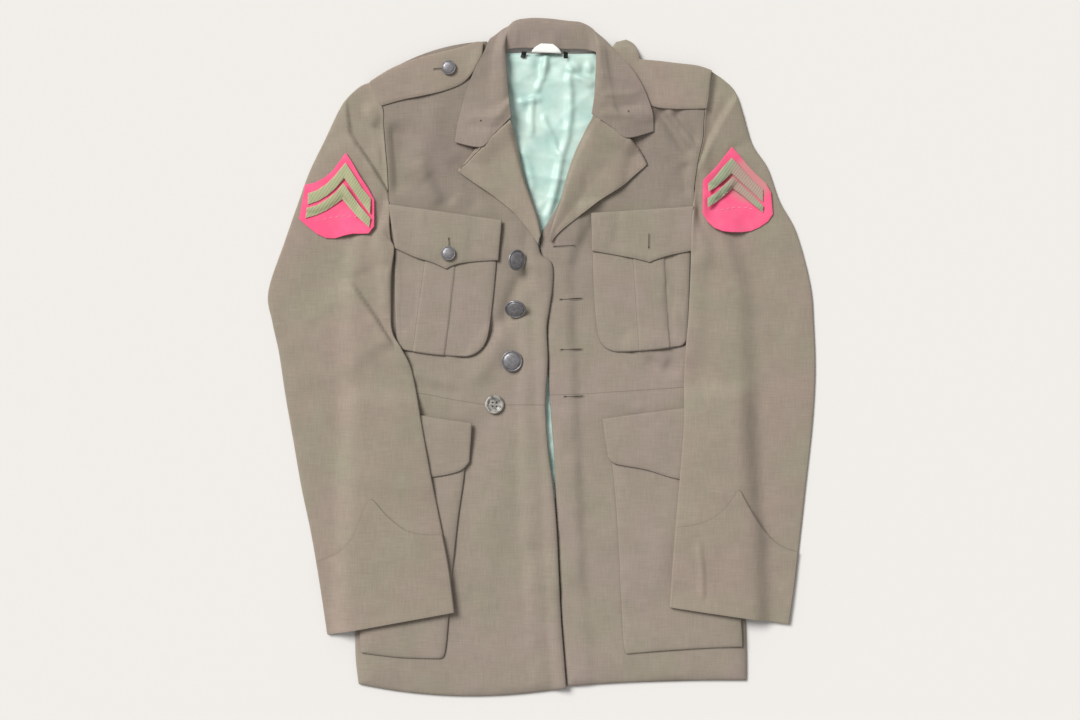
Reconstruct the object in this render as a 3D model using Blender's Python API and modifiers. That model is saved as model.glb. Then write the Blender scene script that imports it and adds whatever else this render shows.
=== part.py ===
"""A uniform service jacket that lies flat on its back, unbuttoned: cloth shells and turned buttons.

Tables are in millimetres on the table top: +X to the wearer's left, +Y towards the collar, +Z up, floor at 0.
Each cloth piece is planned as lines across it, laid on whatever is already under it and thickened upwards.
"""
import math
from collections import namedtuple

import bpy
import numpy as np

MM = 0.001
CLOTH_WALL = 1.6
BACK_WALL = 1.5
LINING_WALL = 1.0
POCKET_WALL = 1.2
COLLAR_WALL = 1.8
SLEEVE_WALL = 1.5
CUFF_WALL = 1.2
BADGE_WALL = 1.0
STRIPE_WALL = 1.0
SEAM_GAP = 0.4
CLOSE_REACH = 2.0
STRIPE_REACH = 8.0
LEAF_REACH = 12.0
SLEEVE_REACH = 17.0
SLEEVE_SOFT = 10.0
FRONT_PUFF = 3.0
LARGE_BUTTON = 12.7
SMALL_BUTTON = 8.6
PLAIN_BUTTON = 11.5
ROLL_RISE = 5.2
POCKET_LIFT = 1.6
LOOSE_POCKET_LIFT = 2.4
PLEAT_RISE = 0.9
FLAP_LIFT = 0.8
STRAP_LIFT = 1.0
SEAT_GAP = 0.3
UNDER_LEAF = 1.3
STAND_HEIGHT = 7.6

# One line across a piece: from (ax, ay) to (bx, by), bowed sideways by bow at its middle.
Line = namedtuple("Line", "ax ay bx by bow")
# One line down the back: shoulder or neck end, chest level and hem end.
Fall = namedtuple("Fall", "top_x top_y chest_x chest_y hem_x hem_y")
# One ring of a sleeve pressed flat: its outer and inner edge, the line's bow and the hollow between its two sides.
Ring = namedtuple("Ring", "ax ay bx by bow hollow")
# One section of the collar: neck seam, roll line, notch line and outer edge; free is 1 where the leaf hangs clear.
Section = namedtuple("Section", "seam_x seam_y roll_x roll_y mid_x mid_y edge_x edge_y free")
# One point of a cuff's upper edge: its share of the sleeve's width from the outer side, and its height in mm.
CuffPoint = namedtuple("CuffPoint", "share height")
# One soft fold: a ridge (height over 0) or a trough (under 0) from a to b, with its half width.
Fold = namedtuple("Fold", "ax ay bx by height width")

BACK = (
    Fall(-203.8, 330.8, -206, 150, -218.4, -389),
    Fall(-170, 347, -172, 152, -190, -395),
    Fall(-120, 362, -125, 152, -150, -400),
    Fall(-68, 378, -80, 152, -100, -404),
    Fall(-40, 366.4, -40, 152, -50, -404),
    Fall(7, 365, 7, 152, 12, -396),
    Fall(54, 366, 54, 152, 70, -392),
    Fall(74, 366, 80, 152, 100, -391),
    Fall(118, 358.8, 125, 152, 150, -389.5),
    Fall(166, 350.6, 172, 152, 205, -388),
    Fall(204, 344, 206, 150, 246, -386),
)
LINING = (
    Line(-42, 366.4, 65, 365.4, -1),
    Line(-58, 340, 82, 340, 0),
    Line(-62, 300, 88, 300, 0),
    Line(-58, 250, 80, 250, 0),
    Line(-44, 200, 62, 200, 0),
    Line(-26, 160, 40, 160, 0),
    Line(-16, 120, 26, 120, 0),
    Line(-14, 60, 26, 60, 0),
    Line(-14, -20, 30, -20, 0),
    Line(-14, -110, 34, -110, 0),
    Line(-10, -210, 38, -210, 0),
    Line(-4, -300, 42, -300, 0),
    Line(2, -384, 48, -384, 0),
)
RIGHT_FRONT = (
    Line(-204, 330, -66, 379.5, 11),
    Line(-189.6, 300.6, -52, 352, 6),
    Line(-188.4, 279, -43.2, 318.6, 2.4),
    Line(-186, 249, -37.2, 282.6, 0),
    Line(-183.6, 219, -28.8, 241.8, 0),
    Line(-184, 182, -18, 196.2, 0),
    Line(-196, 148, -9, 162.6, 0),
    Line(-208, 119, -4.2, 135, 0),
    Line(-211, 101.4, 0, 121.8, 0),
    Line(-213, 88.2, 12, 112.2, 0),
    Line(-215.4, 66.6, 13.2, 88.2, 0),
    Line(-216, 39, 9.6, 60.6, 0),
    Line(-216.6, 15, 6, 35.4, 0),
    Line(-217.2, -21, 7.2, -5.4, 0),
    Line(-217.2, -51, 4.6, -47.4, 0),
    Line(-217.8, -87, 5.4, -82.2, 0),
    Line(-218.4, -123, 8.4, -117, 0),
    Line(-219.6, -165, 13.8, -156.6, 0),
    Line(-220.8, -213, 18, -207, 0),
    Line(-221.4, -261, 20.4, -258.6, 0),
    Line(-222, -309, 22.8, -309, 0),
    Line(-222, -357, 26.4, -357, -3.6),
    Line(-218.4, -391.8, 29.4, -396, -12),
)
LEFT_FRONT = (
    Line(204.6, 343, 76, 366, 6),
    Line(199.2, 315.6, 72, 345, 5),
    Line(195.6, 289, 67.8, 318.6, 2.4),
    Line(194, 262, 62.4, 287.4, 0),
    Line(188, 234, 46.8, 246.6, 0),
    Line(183.6, 199, 32.4, 208.2, 0),
    Line(186, 172, 18, 176, 0),
    Line(197, 142, 2.4, 150, 0),
    Line(212, 116, 0, 130, 0),
    Line(220, 90, 1.2, 107.4, 0),
    Line(228.6, 62, 4.8, 78.6, 0),
    Line(229.2, 33, 7.2, 45, 0),
    Line(230.4, -3, 8.4, 6.6, 0),
    Line(232.8, -45, 11, -39, 0),
    Line(234.6, -81, 13.8, -81, 0),
    Line(236.4, -123, 16.8, -120.6, 0),
    Line(238.8, -171, 18.4, -171, 0),
    Line(241.2, -219, 20.4, -219, 0),
    Line(243, -267, 23.2, -267, 0),
    Line(244.8, -315, 25.6, -315, 0),
    Line(246, -357, 28.2, -357, 0),
    Line(246, -387, 31.2, -394.2, -2.4),
)
RIGHT_LAPEL = (
    Line(-36.6, 283.2, -98.8, 223.2, 1.2),
    Line(-31.2, 263.4, -82.8, 211.8, 0),
    Line(-26.4, 241.8, -63.6, 198.6, 0),
    Line(-20.4, 215.4, -45.6, 184.8, 0),
    Line(-12.6, 191.4, -27.6, 168, 0),
    Line(-4.8, 167.4, -13.8, 151.2, 0),
    Line(-1.2, 145.8, -3.6, 136.2, 0),
)
LEFT_LAPEL = (
    Line(62.4, 288.6, 125.8, 230.5, 9.5),
    Line(51.6, 268.2, 112.8, 219, 2),
    Line(40.8, 245.4, 97.2, 205.8, 0),
    Line(31.2, 217.8, 74.4, 190.8, 0),
    Line(22.8, 186.6, 50.4, 172.8, 0),
    Line(13.8, 157.8, 25.2, 153, 0),
    Line(9, 141, 12, 139.2, 0),
)
RIGHT_STRAP = (
    Line(-190.4, 302.6, -204.4, 331.2, 0),
    Line(-165.6, 309.6, -177.6, 347.4, 0),
    Line(-140.4, 314.4, -147.6, 358.8, 0),
    Line(-114, 321, -117.6, 366.6, 0),
    Line(-93.6, 330, -93.4, 372.6, 0),
    Line(-80.4, 344.4, -78, 378, 0),
    Line(-71, 362, -69.6, 377.6, 0),
)
LEFT_STRAP = (
    Line(198.6, 299, 204.6, 340, 0),
    Line(177.6, 298.4, 188.4, 345.4, 0),
    Line(157.2, 298.4, 164.4, 345.8, 0),
    Line(135.6, 301.2, 141.6, 345, 0),
    Line(114, 311.4, 128.4, 346.2, 0),
    Line(94.8, 330.6, 118.8, 349.8, 0),
    Line(86, 350, 117, 363, 0),
    Line(84.6, 367, 111.6, 376.2, 0),
    Line(90.6, 378.4, 102, 381.8, 0),
)
RIGHT_CHEST_POCKET = (
    Line(-176.4, 172.2, -51.6, 161.4, 0),
    Line(-175.2, 114.6, -54, 113.4, 0),
    Line(-175.2, 69, -57.8, 71.4, 0),
    Line(-174, 42, -61, 44.6, 0),
    Line(-173, 27, -63.7, 27, 0),
    Line(-172, 20, -67, 17.5, 0),
    Line(-170, 14.5, -72, 10.2, -0.5),
    Line(-166, 10.6, -80, 4.4, -1.2),
    Line(-162, 9.4, -89, 1.8, -1.8),
)
LEFT_CHEST_POCKET = (
    Line(178.8, 173.4, 63.6, 168.6, 0),
    Line(178.8, 123, 62.2, 121.8, 0),
    Line(177.6, 75, 64, 71, 0),
    Line(176.4, 46, 66.4, 42, 0),
    Line(175.8, 32, 68, 30, 0),
    Line(175, 25, 70.6, 21.5, 0),
    Line(173.5, 19.5, 75, 14.5, 0.5),
    Line(170.5, 15.8, 82, 9.6, 1),
    Line(167, 14.4, 91, 7.4, 1.6),
)
RIGHT_CHEST_FLAP = (
    Line(-182.4, 183.6, -174.5, 131, 0),
    Line(-152, 179.3, -150.2, 120.2, 0),
    Line(-133, 176.6, -132, 114.6, 0),
    Line(-118, 174.5, -118, 108.6, 0),
    Line(-112.6, 173.6, -113.4, 106.4, 0),
    Line(-107, 172.8, -108.4, 109, 0),
    Line(-95, 171.2, -97.6, 112.7, 0),
    Line(-75, 168.3, -77.5, 115.2, 0),
    Line(-47.4, 164.4, -51.6, 116.8, 0),
)
LEFT_CHEST_FLAP = (
    Line(60.6, 172.8, 61.4, 127.9, 0),
    Line(84, 174.4, 84.5, 123.8, 0),
    Line(108, 176, 108.5, 119.4, 0),
    Line(124, 177.1, 124.6, 115.8, 0),
    Line(130, 177.5, 130.1, 114.2, 0),
    Line(135.6, 177.9, 135.8, 116.6, 0),
    Line(153, 179, 153.1, 122.2, 0),
    Line(182.4, 181, 183, 128.4, 0),
)
RIGHT_LOWER_POCKET = (
    Line(-212.4, -72.6, -88.8, -82.2, 0),
    Line(-213.6, -135, -92.2, -137.4, 0),
    Line(-216, -207, -100.8, -201, 0),
    Line(-216.4, -279, -108.2, -273, 0),
    Line(-217, -339, -114.6, -348.6, 0),
    Line(-215.8, -353.4, -120, -360.6, -2.4),
)
LEFT_LOWER_POCKET = (
    Line(229, -65.4, 78, -76.2, 0),
    Line(232, -129, 85.8, -130.2, 0),
    Line(235, -201, 92, -204.6, 0),
    Line(238, -279, 96, -285, 0),
    Line(241, -334.2, 99.4, -345, 0),
    Line(241.2, -346.8, 103.2, -355.2, -1.2),
)
RIGHT_LOWER_FLAP = (
    Line(-211.2, -58.2, -208.8, -135, 0),
    Line(-169.2, -64.8, -166.8, -144, 0),
    Line(-126, -72.6, -128.4, -142.8, 0),
    Line(-94.8, -77.2, -98.4, -136.2, 0),
    Line(-83.2, -79, -86.4, -125.4, 0),
)
LEFT_LOWER_FLAP = (
    Line(73.6, -73.4, 81, -119.4, 0),
    Line(86.4, -71.8, 90, -127.2, 0),
    Line(124.8, -66.6, 126, -134.2, 0),
    Line(170.4, -60.8, 166.8, -145.8, 0),
    Line(226.8, -54.6, 229.2, -151.8, 0),
)
NECK_LABEL = (
    Line(-11.4, 366.4, 24.6, 365, 0),
    Line(-7.2, 371.8, 20.4, 370.7, 0),
    Line(0, 376.2, 14.4, 375.5, 0),
)
RIGHT_PATCH = (
    Line(-290.4, 166.2, -283.2, 207.6, 0),
    Line(-280.8, 157.8, -272.4, 209.4, 0),
    Line(-268.8, 148.2, -260.4, 215.4, 0),
    Line(-258, 143.4, -249.6, 224.4, 0),
    Line(-247.2, 143, -240, 237, 0),
    Line(-235.2, 146.4, -234, 245.4, 0),
    Line(-225.6, 148.2, -226.8, 234.6, 0),
    Line(-216, 148.2, -217.2, 217.8, 0),
    Line(-206.4, 148.4, -207.6, 203.4, 0),
    Line(-199.8, 156.6, -199.8, 189, 0),
)
LEFT_PATCH = (
    Line(193.2, 172.2, 194.4, 213, 0),
    Line(199.2, 162.6, 201.6, 220.2, 0),
    Line(207.6, 154.8, 210, 228.6, 0),
    Line(217.2, 151.2, 218.4, 239.4, 0),
    Line(228, 150, 228.6, 252.6, 0),
    Line(240, 150, 237.6, 243, 0),
    Line(252, 151.8, 248.4, 230.4, 0),
    Line(262.8, 156.6, 259.2, 219, 0),
    Line(272.4, 163.2, 270, 209.4, 0),
    Line(278.4, 172.2, 276, 198.6, 0),
)
STRIPES = {
    "right_stripe_upper": (
        Line(-279.6, 183.6, -279.6, 196.8, 0),
        Line(-267.6, 187.8, -268.8, 200.4, 0),
        Line(-255.6, 195, -256.8, 208.2, 0),
        Line(-244.8, 204.6, -245.4, 219.6, 0),
        Line(-235.8, 215.4, -234, 233.4, 0),
        Line(-226.8, 202.8, -225, 219.6, 0),
        Line(-216, 187.2, -214.8, 203.4, 0),
        Line(-204.6, 171.6, -204, 190.2, 0),
    ),
    "right_stripe_lower": (
        Line(-282.6, 167.4, -280.8, 179.4, 0),
        Line(-270, 171, -268.8, 182.4, 0),
        Line(-258, 176.4, -256.8, 189.6, 0),
        Line(-247.2, 183.6, -246, 198, 0),
        Line(-238.2, 190.2, -236.4, 208.2, 0),
        Line(-229.2, 179.4, -227.4, 195.6, 0),
        Line(-218.4, 167.4, -216.6, 181.2, 0),
        Line(-205.2, 155.4, -204, 166.2, 0),
    ),
    "left_stripe_upper": (
        Line(200.4, 198.6, 200.4, 208.2, 0),
        Line(208.8, 203.4, 208.8, 216.6, 0),
        Line(218.4, 211.8, 218.4, 228.6, 0),
        Line(228.6, 220.8, 228.6, 239.4, 0),
        Line(240, 210.6, 240, 226.8, 0),
        Line(252, 199.8, 252, 214.2, 0),
        Line(266.4, 186.6, 266.4, 201, 0),
    ),
    "left_stripe_lower": (
        Line(199.2, 179.4, 199.2, 190.2, 0),
        Line(208.8, 185.4, 208.8, 196.8, 0),
        Line(218.4, 193.2, 218.4, 205.8, 0),
        Line(229.8, 203.4, 229.8, 216, 0),
        Line(241.2, 195, 241.2, 205.8, 0),
        Line(253.2, 184.8, 253.2, 195, 0),
        Line(266.4, 174, 266.4, 181.8, 0),
    ),
}
RIGHT_SLEEVE = (
    Ring(-204, 331.2, -180.9, 194.4, 7, 2.2),
    Ring(-217, 326.4, -181.4, 182, 4, 2.6),
    Ring(-231.6, 313.8, -181.8, 170, 1, 3),
    Ring(-242.4, 298.2, -181.8, 155, 0, 3),
    Ring(-259.2, 263.4, -180, 140, 0, 3),
    Ring(-278.4, 223.8, -175.8, 129, 0, 3),
    Ring(-292.8, 184.2, -178.8, 102.6, 0, 3),
    Ring(-308.4, 139.8, -179.4, 67.8, 0, 3),
    Ring(-328.2, 79.8, -178.2, 31.8, 0, 3),
    Ring(-323.4, 42.6, -166.8, 10.2, 0, 3),
    Ring(-315.6, 6.6, -156, -11.4, 0, 3),
    Ring(-307.8, -45, -148.8, -43.8, 0, 3),
    Ring(-299.4, -93, -141, -89.4, 0, 3),
    Ring(-288.6, -155.4, -131.4, -142.2, 0, 3),
    Ring(-276.6, -213, -120.4, -197.4, 0, 3),
    Ring(-266.4, -273, -110.4, -249, 0, 3),
    Ring(-257.5, -333, -103.2, -304.9, 0, 2.6),
)
LEFT_SLEEVE = (
    Ring(206.4, 343.8, 183.6, 193.2, 2, 2.2),
    Ring(219.6, 334.8, 183, 182.4, 0, 2.6),
    Ring(233.4, 319.8, 181.8, 170.4, 0, 3),
    Ring(242.4, 294.6, 180.6, 156, 0, 3),
    Ring(253.8, 257.4, 180, 139.2, 0, 3),
    Ring(272.4, 228.6, 179.4, 120, 0, 3),
    Ring(286.8, 189, 178.8, 96, 0, 3),
    Ring(307.2, 150.6, 177.6, 69.6, 0, 3),
    Ring(324, 88.2, 175.8, 39.6, 0, 3),
    Ring(328.2, 39, 172.8, 7.2, 0, 3),
    Ring(330, -17.4, 171, -32.4, 0, 3),
    Ring(326.4, -81, 170.4, -80.4, 0, 3),
    Ring(318, -159, 165.6, -146.4, 0, 3),
    Ring(310.8, -225, 160.2, -206.4, 0, 3),
    Ring(305.4, -273, 156.6, -254.4, 0, 3),
    Ring(298.8, -320.4, 153.6, -298.8, 0, 2.6),
)
RIGHT_CUFF = (
    CuffPoint(0.02, 84.5), CuffPoint(0.103, 88), CuffPoint(0.193, 92.5), CuffPoint(0.312, 107.5),
    CuffPoint(0.408, 130), CuffPoint(0.465, 144.5), CuffPoint(0.515, 152), CuffPoint(0.55, 146),
    CuffPoint(0.595, 133.5), CuffPoint(0.672, 118.5), CuffPoint(0.755, 108), CuffPoint(0.878, 102),
    CuffPoint(0.98, 100),
)
LEFT_CUFF = (
    CuffPoint(0.02, 86.5), CuffPoint(0.16, 92), CuffPoint(0.268, 103.5), CuffPoint(0.38, 122),
    CuffPoint(0.478, 142), CuffPoint(0.53, 152), CuffPoint(0.575, 140.5), CuffPoint(0.633, 128),
    CuffPoint(0.723, 115), CuffPoint(0.85, 105), CuffPoint(0.98, 98.5),
)
COLLAR = (
    Section(-45.6, 277.8, -36, 286.8, -72, 251.6, -103.2, 257.9, 0),
    Section(-49.2, 299.4, -38.4, 305.4, -64.8, 281.4, -99, 283.8, 0),
    Section(-50.4, 323.4, -40.2, 328.2, -64.8, 313.8, -90.6, 315, 0),
    Section(-51.6, 347.4, -42, 354.6, -61.8, 345, -81, 341.4, 0),
    Section(-49.2, 364.2, -43.2, 373.8, -56.4, 369, -68.5, 365.5, 0),
    Section(-42, 368.4, -40.8, 389.4, -51.6, 388.2, -60.6, 382.8, 0.6),
    Section(-31.2, 370.8, -33, 402.6, -42, 395.4, -46.8, 385, 1),
    Section(-13.2, 370.8, -15.6, 406.8, -16.8, 397.8, -18, 384, 1),
    Section(7.2, 370.2, 7.2, 406.6, 7.2, 397.8, 7.2, 384, 1),
    Section(30, 369.6, 31.2, 403.8, 32.4, 395.4, 33.6, 383.6, 1),
    Section(48, 369.6, 49.2, 401.4, 54, 392, 56.4, 382.6, 1),
    Section(61.2, 367.8, 63.6, 391.2, 72, 385.8, 76.8, 379, 0.6),
    Section(70.8, 362, 66, 373.8, 80.4, 371, 91.2, 364.2, 0),
    Section(75.6, 345, 66.4, 352.6, 85.2, 347.4, 106.8, 348, 0),
    Section(75, 324, 65.4, 330.6, 92.4, 319.8, 122.4, 323.4, 0),
    Section(74.4, 303, 64.2, 311.4, 99.6, 289.8, 133.2, 294.6, 0),
    Section(71.4, 281, 61.2, 290.6, 103.2, 262.4, 134.9, 271, 0),
)
BODY_FOLDS = (
    Fold(137, 294, 181, 246, -1.6, 9),
    Fold(158, 294, 193, 252, -1.4, 7),
    Fold(-148, 224, -121, 188, 1.6, 14),
    Fold(-150, -30, -66, -52, -1.2, 10),
    Fold(70, -47, 167, -45, -1.2, 10),
)
RIGHT_SLEEVE_FOLDS = (
    Fold(-231, 311, -227, 270, -1.6, 8),
    Fold(-227, 270, -181, 201, -1.6, 9),
    Fold(-226, 96, -184, 28, -2, 12),
    Fold(-300, 8, -240, -50, -1.2, 14),
)
LEFT_SLEEVE_FOLDS = (
    Fold(233, 316, 196, 262, -1.6, 8),
    Fold(254, 258, 225, 248, -1.4, 8),
    Fold(300, 130, 210, 90, 1.2, 18),
)
PLACES = {
    "front_button_1": (-30, 116.5),
    "front_button_2": (-30.6, 59),
    "front_button_3": (-35, -4.2),
    "plain_button": (-55.8, -56.2),
    "pocket_button": (-111, 124.6),
    "strap_button": (-110.6, 347.4),
}
# The two ends of the hanger loop that show at the neck.
LOOP_ENDS = {
    "loop_end_right": (Line(-24.6, 360.4, -19.2, 359.2, 0), Line(-22.8, 367.4, -16.8, 366.8, 0)),
    "loop_end_left": (Line(27.2, 359.4, 32, 359, 0), Line(26.8, 366.6, 32, 366.2, 0)),
}


def start_clean():
    """Empties the file, so that the script gives the same result each time."""
    for old in list(bpy.data.objects):
        bpy.data.objects.remove(old, do_unlink=True)
    for old in list(bpy.data.meshes):
        bpy.data.meshes.remove(old)


def new_collection(name):
    """A collection in the scene."""
    made = bpy.data.collections.new(name)
    bpy.context.scene.collection.children.link(made)
    return made


def new_material(name, colour, roughness, metallic=0.0):
    """A plain Principled material."""
    made = bpy.data.materials.new(name)
    made.use_nodes = True
    shader = made.node_tree.nodes["Principled BSDF"]
    shader.inputs["Base Color"].default_value = (*colour, 1.0)
    shader.inputs["Roughness"].default_value = roughness
    shader.inputs["Metallic"].default_value = metallic
    return made


def through(values, places):
    """A smooth curve through the rows of values, read at the given places (0 is the first row)."""
    values = np.asarray(values, float)
    last = len(values) - 1
    place = np.clip(places, 0, last)
    start = np.minimum(place.astype(int), last - 1)
    part = (place - start)[:, None]
    before = values[np.maximum(start - 1, 0)]
    here = values[start]
    there = values[start + 1]
    after = values[np.minimum(start + 2, last)]
    slope_in = 0.5 * (there - before)
    slope_out = 0.5 * (after - here)
    square = part * part
    cube = square * part
    return ((2 * cube - 3 * square + 1) * here + (cube - 2 * square + part) * slope_in
            + (3 * square - 2 * cube) * there + (cube - square) * slope_out)


def even_places(rows, count):
    """Places along a table that are evenly spaced on the piece, keeping the first and last row."""
    table = np.asarray([[row.ax + row.bx, row.ay + row.by] for row in rows], float) / 2
    width = np.asarray([[row.bx - row.ax, row.by - row.ay] for row in rows], float) / 2
    ends = np.hypot(*np.diff(table - width, axis=0).T) + np.hypot(*np.diff(table + width, axis=0).T)
    run = np.concatenate([[0], np.cumsum(ends)])
    return np.interp(np.linspace(0, run[-1], count + 1), run, np.arange(len(rows)))


def plan(rows, along, across, corners=False):
    """The (x, y) grid of a piece from its lines; corners keeps every row's line and straight sides."""
    if corners:
        per_row = max(1, round(along / (len(rows) - 1)))
        places = np.linspace(0, len(rows) - 1, per_row * (len(rows) - 1) + 1)
        table = np.asarray(rows, float)
        lines = np.stack([np.interp(places, np.arange(len(rows)), column) for column in table.T], axis=1)
    else:
        lines = through([tuple(row)[:5] for row in rows], even_places(rows, along))
    share = np.linspace(0, 1, across + 1)[None, :]
    ax, ay, bx, by, bow = (lines[:, k:k + 1] for k in range(5))
    length = np.hypot(bx - ax, by - ay)
    swell = bow * 4 * share * (1 - share)
    x = ax + (bx - ax) * share - (by - ay) / length * swell
    y = ay + (by - ay) * share + (bx - ax) / length * swell
    return x, y


def fold_height(x, y, folds):
    """Soft ridges and troughs, round in section and fading at both ends."""
    total = np.zeros_like(x)
    for fold in folds:
        dx = fold.bx - fold.ax
        dy = fold.by - fold.ay
        length = math.hypot(dx, dy)
        run = ((x - fold.ax) * dx + (y - fold.ay) * dy) / length ** 2
        aside = ((x - fold.ax) * dy - (y - fold.ay) * dx) / length
        ends = np.clip(4 * run * (1 - run) * 1.4, 0, 1)
        total += fold.height * ends * np.exp(-(aside / fold.width) ** 2)
    return total


class Pile:
    """The height, on a fine raster, of all that is laid so far."""

    CELL = 2.0
    LEFT = -380.0
    FRONT = -450.0

    def __init__(self):
        """An empty table top, 760 by 900 mm."""
        self.top = np.zeros((380, 450))

    def cells(self, x, y):
        """The raster cell under each place."""
        column = np.clip(((x - self.LEFT) / self.CELL).astype(int), 0, self.top.shape[0] - 1)
        row = np.clip(((y - self.FRONT) / self.CELL).astype(int), 0, self.top.shape[1] - 1)
        return column, row

    def rest(self, x, y, reach, soft=4.0):
        """The height that clears the pile within reach, smoothed over a soft distance as cloth bridges a step."""
        spread = int(math.ceil(reach / self.CELL)) + 1
        ease = int(math.ceil(soft / self.CELL))
        cover = self.top
        for axis in (0, 1):
            wide = cover.copy()
            for step in range(1, spread + 2 * ease + 1):
                wide = np.maximum(wide, np.maximum(np.roll(cover, step, axis), np.roll(cover, -step, axis)))
            cover = wide
        for axis in (0, 1, 0, 1):
            cover = sum(np.roll(cover, step, axis) for step in range(-ease, ease + 1)) / (2 * ease + 1)
        across = (x - self.LEFT) / self.CELL
        along = (y - self.FRONT) / self.CELL
        column = np.clip(across.astype(int), 0, cover.shape[0] - 2)
        row = np.clip(along.astype(int), 0, cover.shape[1] - 2)
        right = across - column
        back = along - row
        near = cover[column, row] * (1 - right) + cover[column + 1, row] * right
        far = cover[column, row + 1] * (1 - right) + cover[column + 1, row + 1] * right
        return near * (1 - back) + far * back

    def add(self, part):
        """Spreads an object's surface over the raster."""
        corners = triangles_of(part) / MM
        sides = (corners[:, 1] - corners[:, 0], corners[:, 2] - corners[:, 0])
        longest = max(np.abs(side)[:, :2].max() for side in sides)
        steps = int(math.ceil(longest / self.CELL * 1.2))
        for i in range(steps + 1):
            for j in range(steps + 1 - i):
                a = i / steps
                b = j / steps
                points = corners[:, 0] * (1 - a - b) + corners[:, 1] * a + corners[:, 2] * b
                column, row = self.cells(points[:, 0], points[:, 1])
                np.maximum.at(self.top, (column, row), points[:, 2])


def triangles_of(part):
    """The corners of an object's evaluated triangles, in metres."""
    graph = bpy.context.evaluated_depsgraph_get()
    graph.update()
    seen = part.evaluated_get(graph)
    mesh = seen.to_mesh()
    mesh.calc_loop_triangles()
    points = np.empty(len(mesh.vertices) * 3, np.float32)
    mesh.vertices.foreach_get("co", points)
    points = points.reshape(-1, 3).astype(float)
    turned = np.array(part.matrix_world)
    points = points @ turned[:3, :3].T + turned[:3, 3]
    corners = np.empty(len(mesh.loop_triangles) * 3, np.int32)
    mesh.loop_triangles.foreach_get("vertices", corners)
    seen.to_mesh_clear()
    return points[corners.reshape(-1, 3)]


def grid_faces(rows, columns, closed=False):
    """Four-sided faces of a grid of rows x columns points, joined round when closed."""
    row = np.arange(rows - 1)[:, None]
    column = np.arange(columns if closed else columns - 1)[None, :]
    beyond = (column + 1) % columns
    first = row * columns + column
    second = row * columns + beyond
    return np.stack([first, second, second + columns, first + columns], axis=-1).reshape(-1, 4)


def faces_inward(points, faces, closed):
    """True where a sheet's faces look down, or a tube's look into it."""
    corners = points[faces]
    normals = np.cross(corners[:, 2] - corners[:, 0], corners[:, 3] - corners[:, 1])
    if not closed:
        return normals[:, 2].sum() < 0
    middles = corners.mean(axis=1) - points.mean(axis=0)
    return (normals * middles).sum() < 0


def shell(name, points, wall, material, closed=False, offset=1.0):
    """A cloth piece: an open grid of points in millimetres, thickened by its wall."""
    rows, columns = points.shape[:2]
    faces = grid_faces(rows, columns, closed)
    if faces_inward(points.reshape(-1, 3), faces, closed):
        faces = faces[:, ::-1]
    mesh = bpy.data.meshes.new(name)
    mesh.from_pydata((points.reshape(-1, 3) * MM).tolist(), [], faces.tolist())
    mesh.materials.append(material)
    mesh.shade_smooth()
    part = bpy.data.objects.new(name, mesh)
    PARTS.objects.link(part)
    thick = part.modifiers.new("Wall", "SOLIDIFY")
    thick.thickness = wall * MM
    thick.offset = offset
    bpy.context.view_layer.update()
    return part


def longest_edge(x, y):
    """The longest side or diagonal of a grid's cells, seen from above."""
    down = np.hypot(np.diff(x, axis=0), np.diff(y, axis=0)).max()
    over = np.hypot(np.diff(x, axis=1), np.diff(y, axis=1)).max()
    return math.hypot(down, over)


def lay(name, grid, wall, material, lift=0.0, folds=(), reach=None, soft=4.0):
    """Lays a sheet on the pile, lifted by its own form, and adds it to the pile."""
    x, y = grid
    z = PILE.rest(x, y, reach or longest_edge(x, y), soft) + SEAM_GAP + lift
    if folds:
        z = z + np.maximum(fold_height(x, y, folds), -0.8 * lift)
    part = shell(name, np.stack([x, y, z], axis=-1), wall, material)
    PILE.add(part)
    return part


def swelling(rows, columns, height, edge_along=6.0, edge_across=6.0):
    """A height over a grid that is full in the middle and falls to nothing at the edges."""
    down = np.linspace(-1, 1, rows)[:, None]
    over = np.linspace(-1, 1, columns)[None, :]
    return height * (1 - np.abs(down) ** edge_along) * (1 - np.abs(over) ** edge_across)


def lay_back():
    """The back, one flat piece that rests on the floor."""
    falls = through(BACK, np.linspace(0, len(BACK) - 1, 21))
    share = np.linspace(0, 2, 25)
    levels = falls.reshape(len(falls), 3, 2)
    grid = np.stack([through(line, share) for line in levels])
    points = np.dstack([grid, np.zeros(grid.shape[:2])])
    part = shell("back", points, BACK_WALL, CLOTH)
    PILE.add(part)


def lay_fronts():
    """The two fronts: the wearer's left one lies underneath the right one at the chest."""
    for name, table in (("left_front", LEFT_FRONT), ("right_front", RIGHT_FRONT)):
        grid = plan(table, 30, 11)
        lift = swelling(31, 12, FRONT_PUFF, 10, 4)
        lay(name, grid, CLOTH_WALL, CLOTH, lift, BODY_FOLDS)


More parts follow.
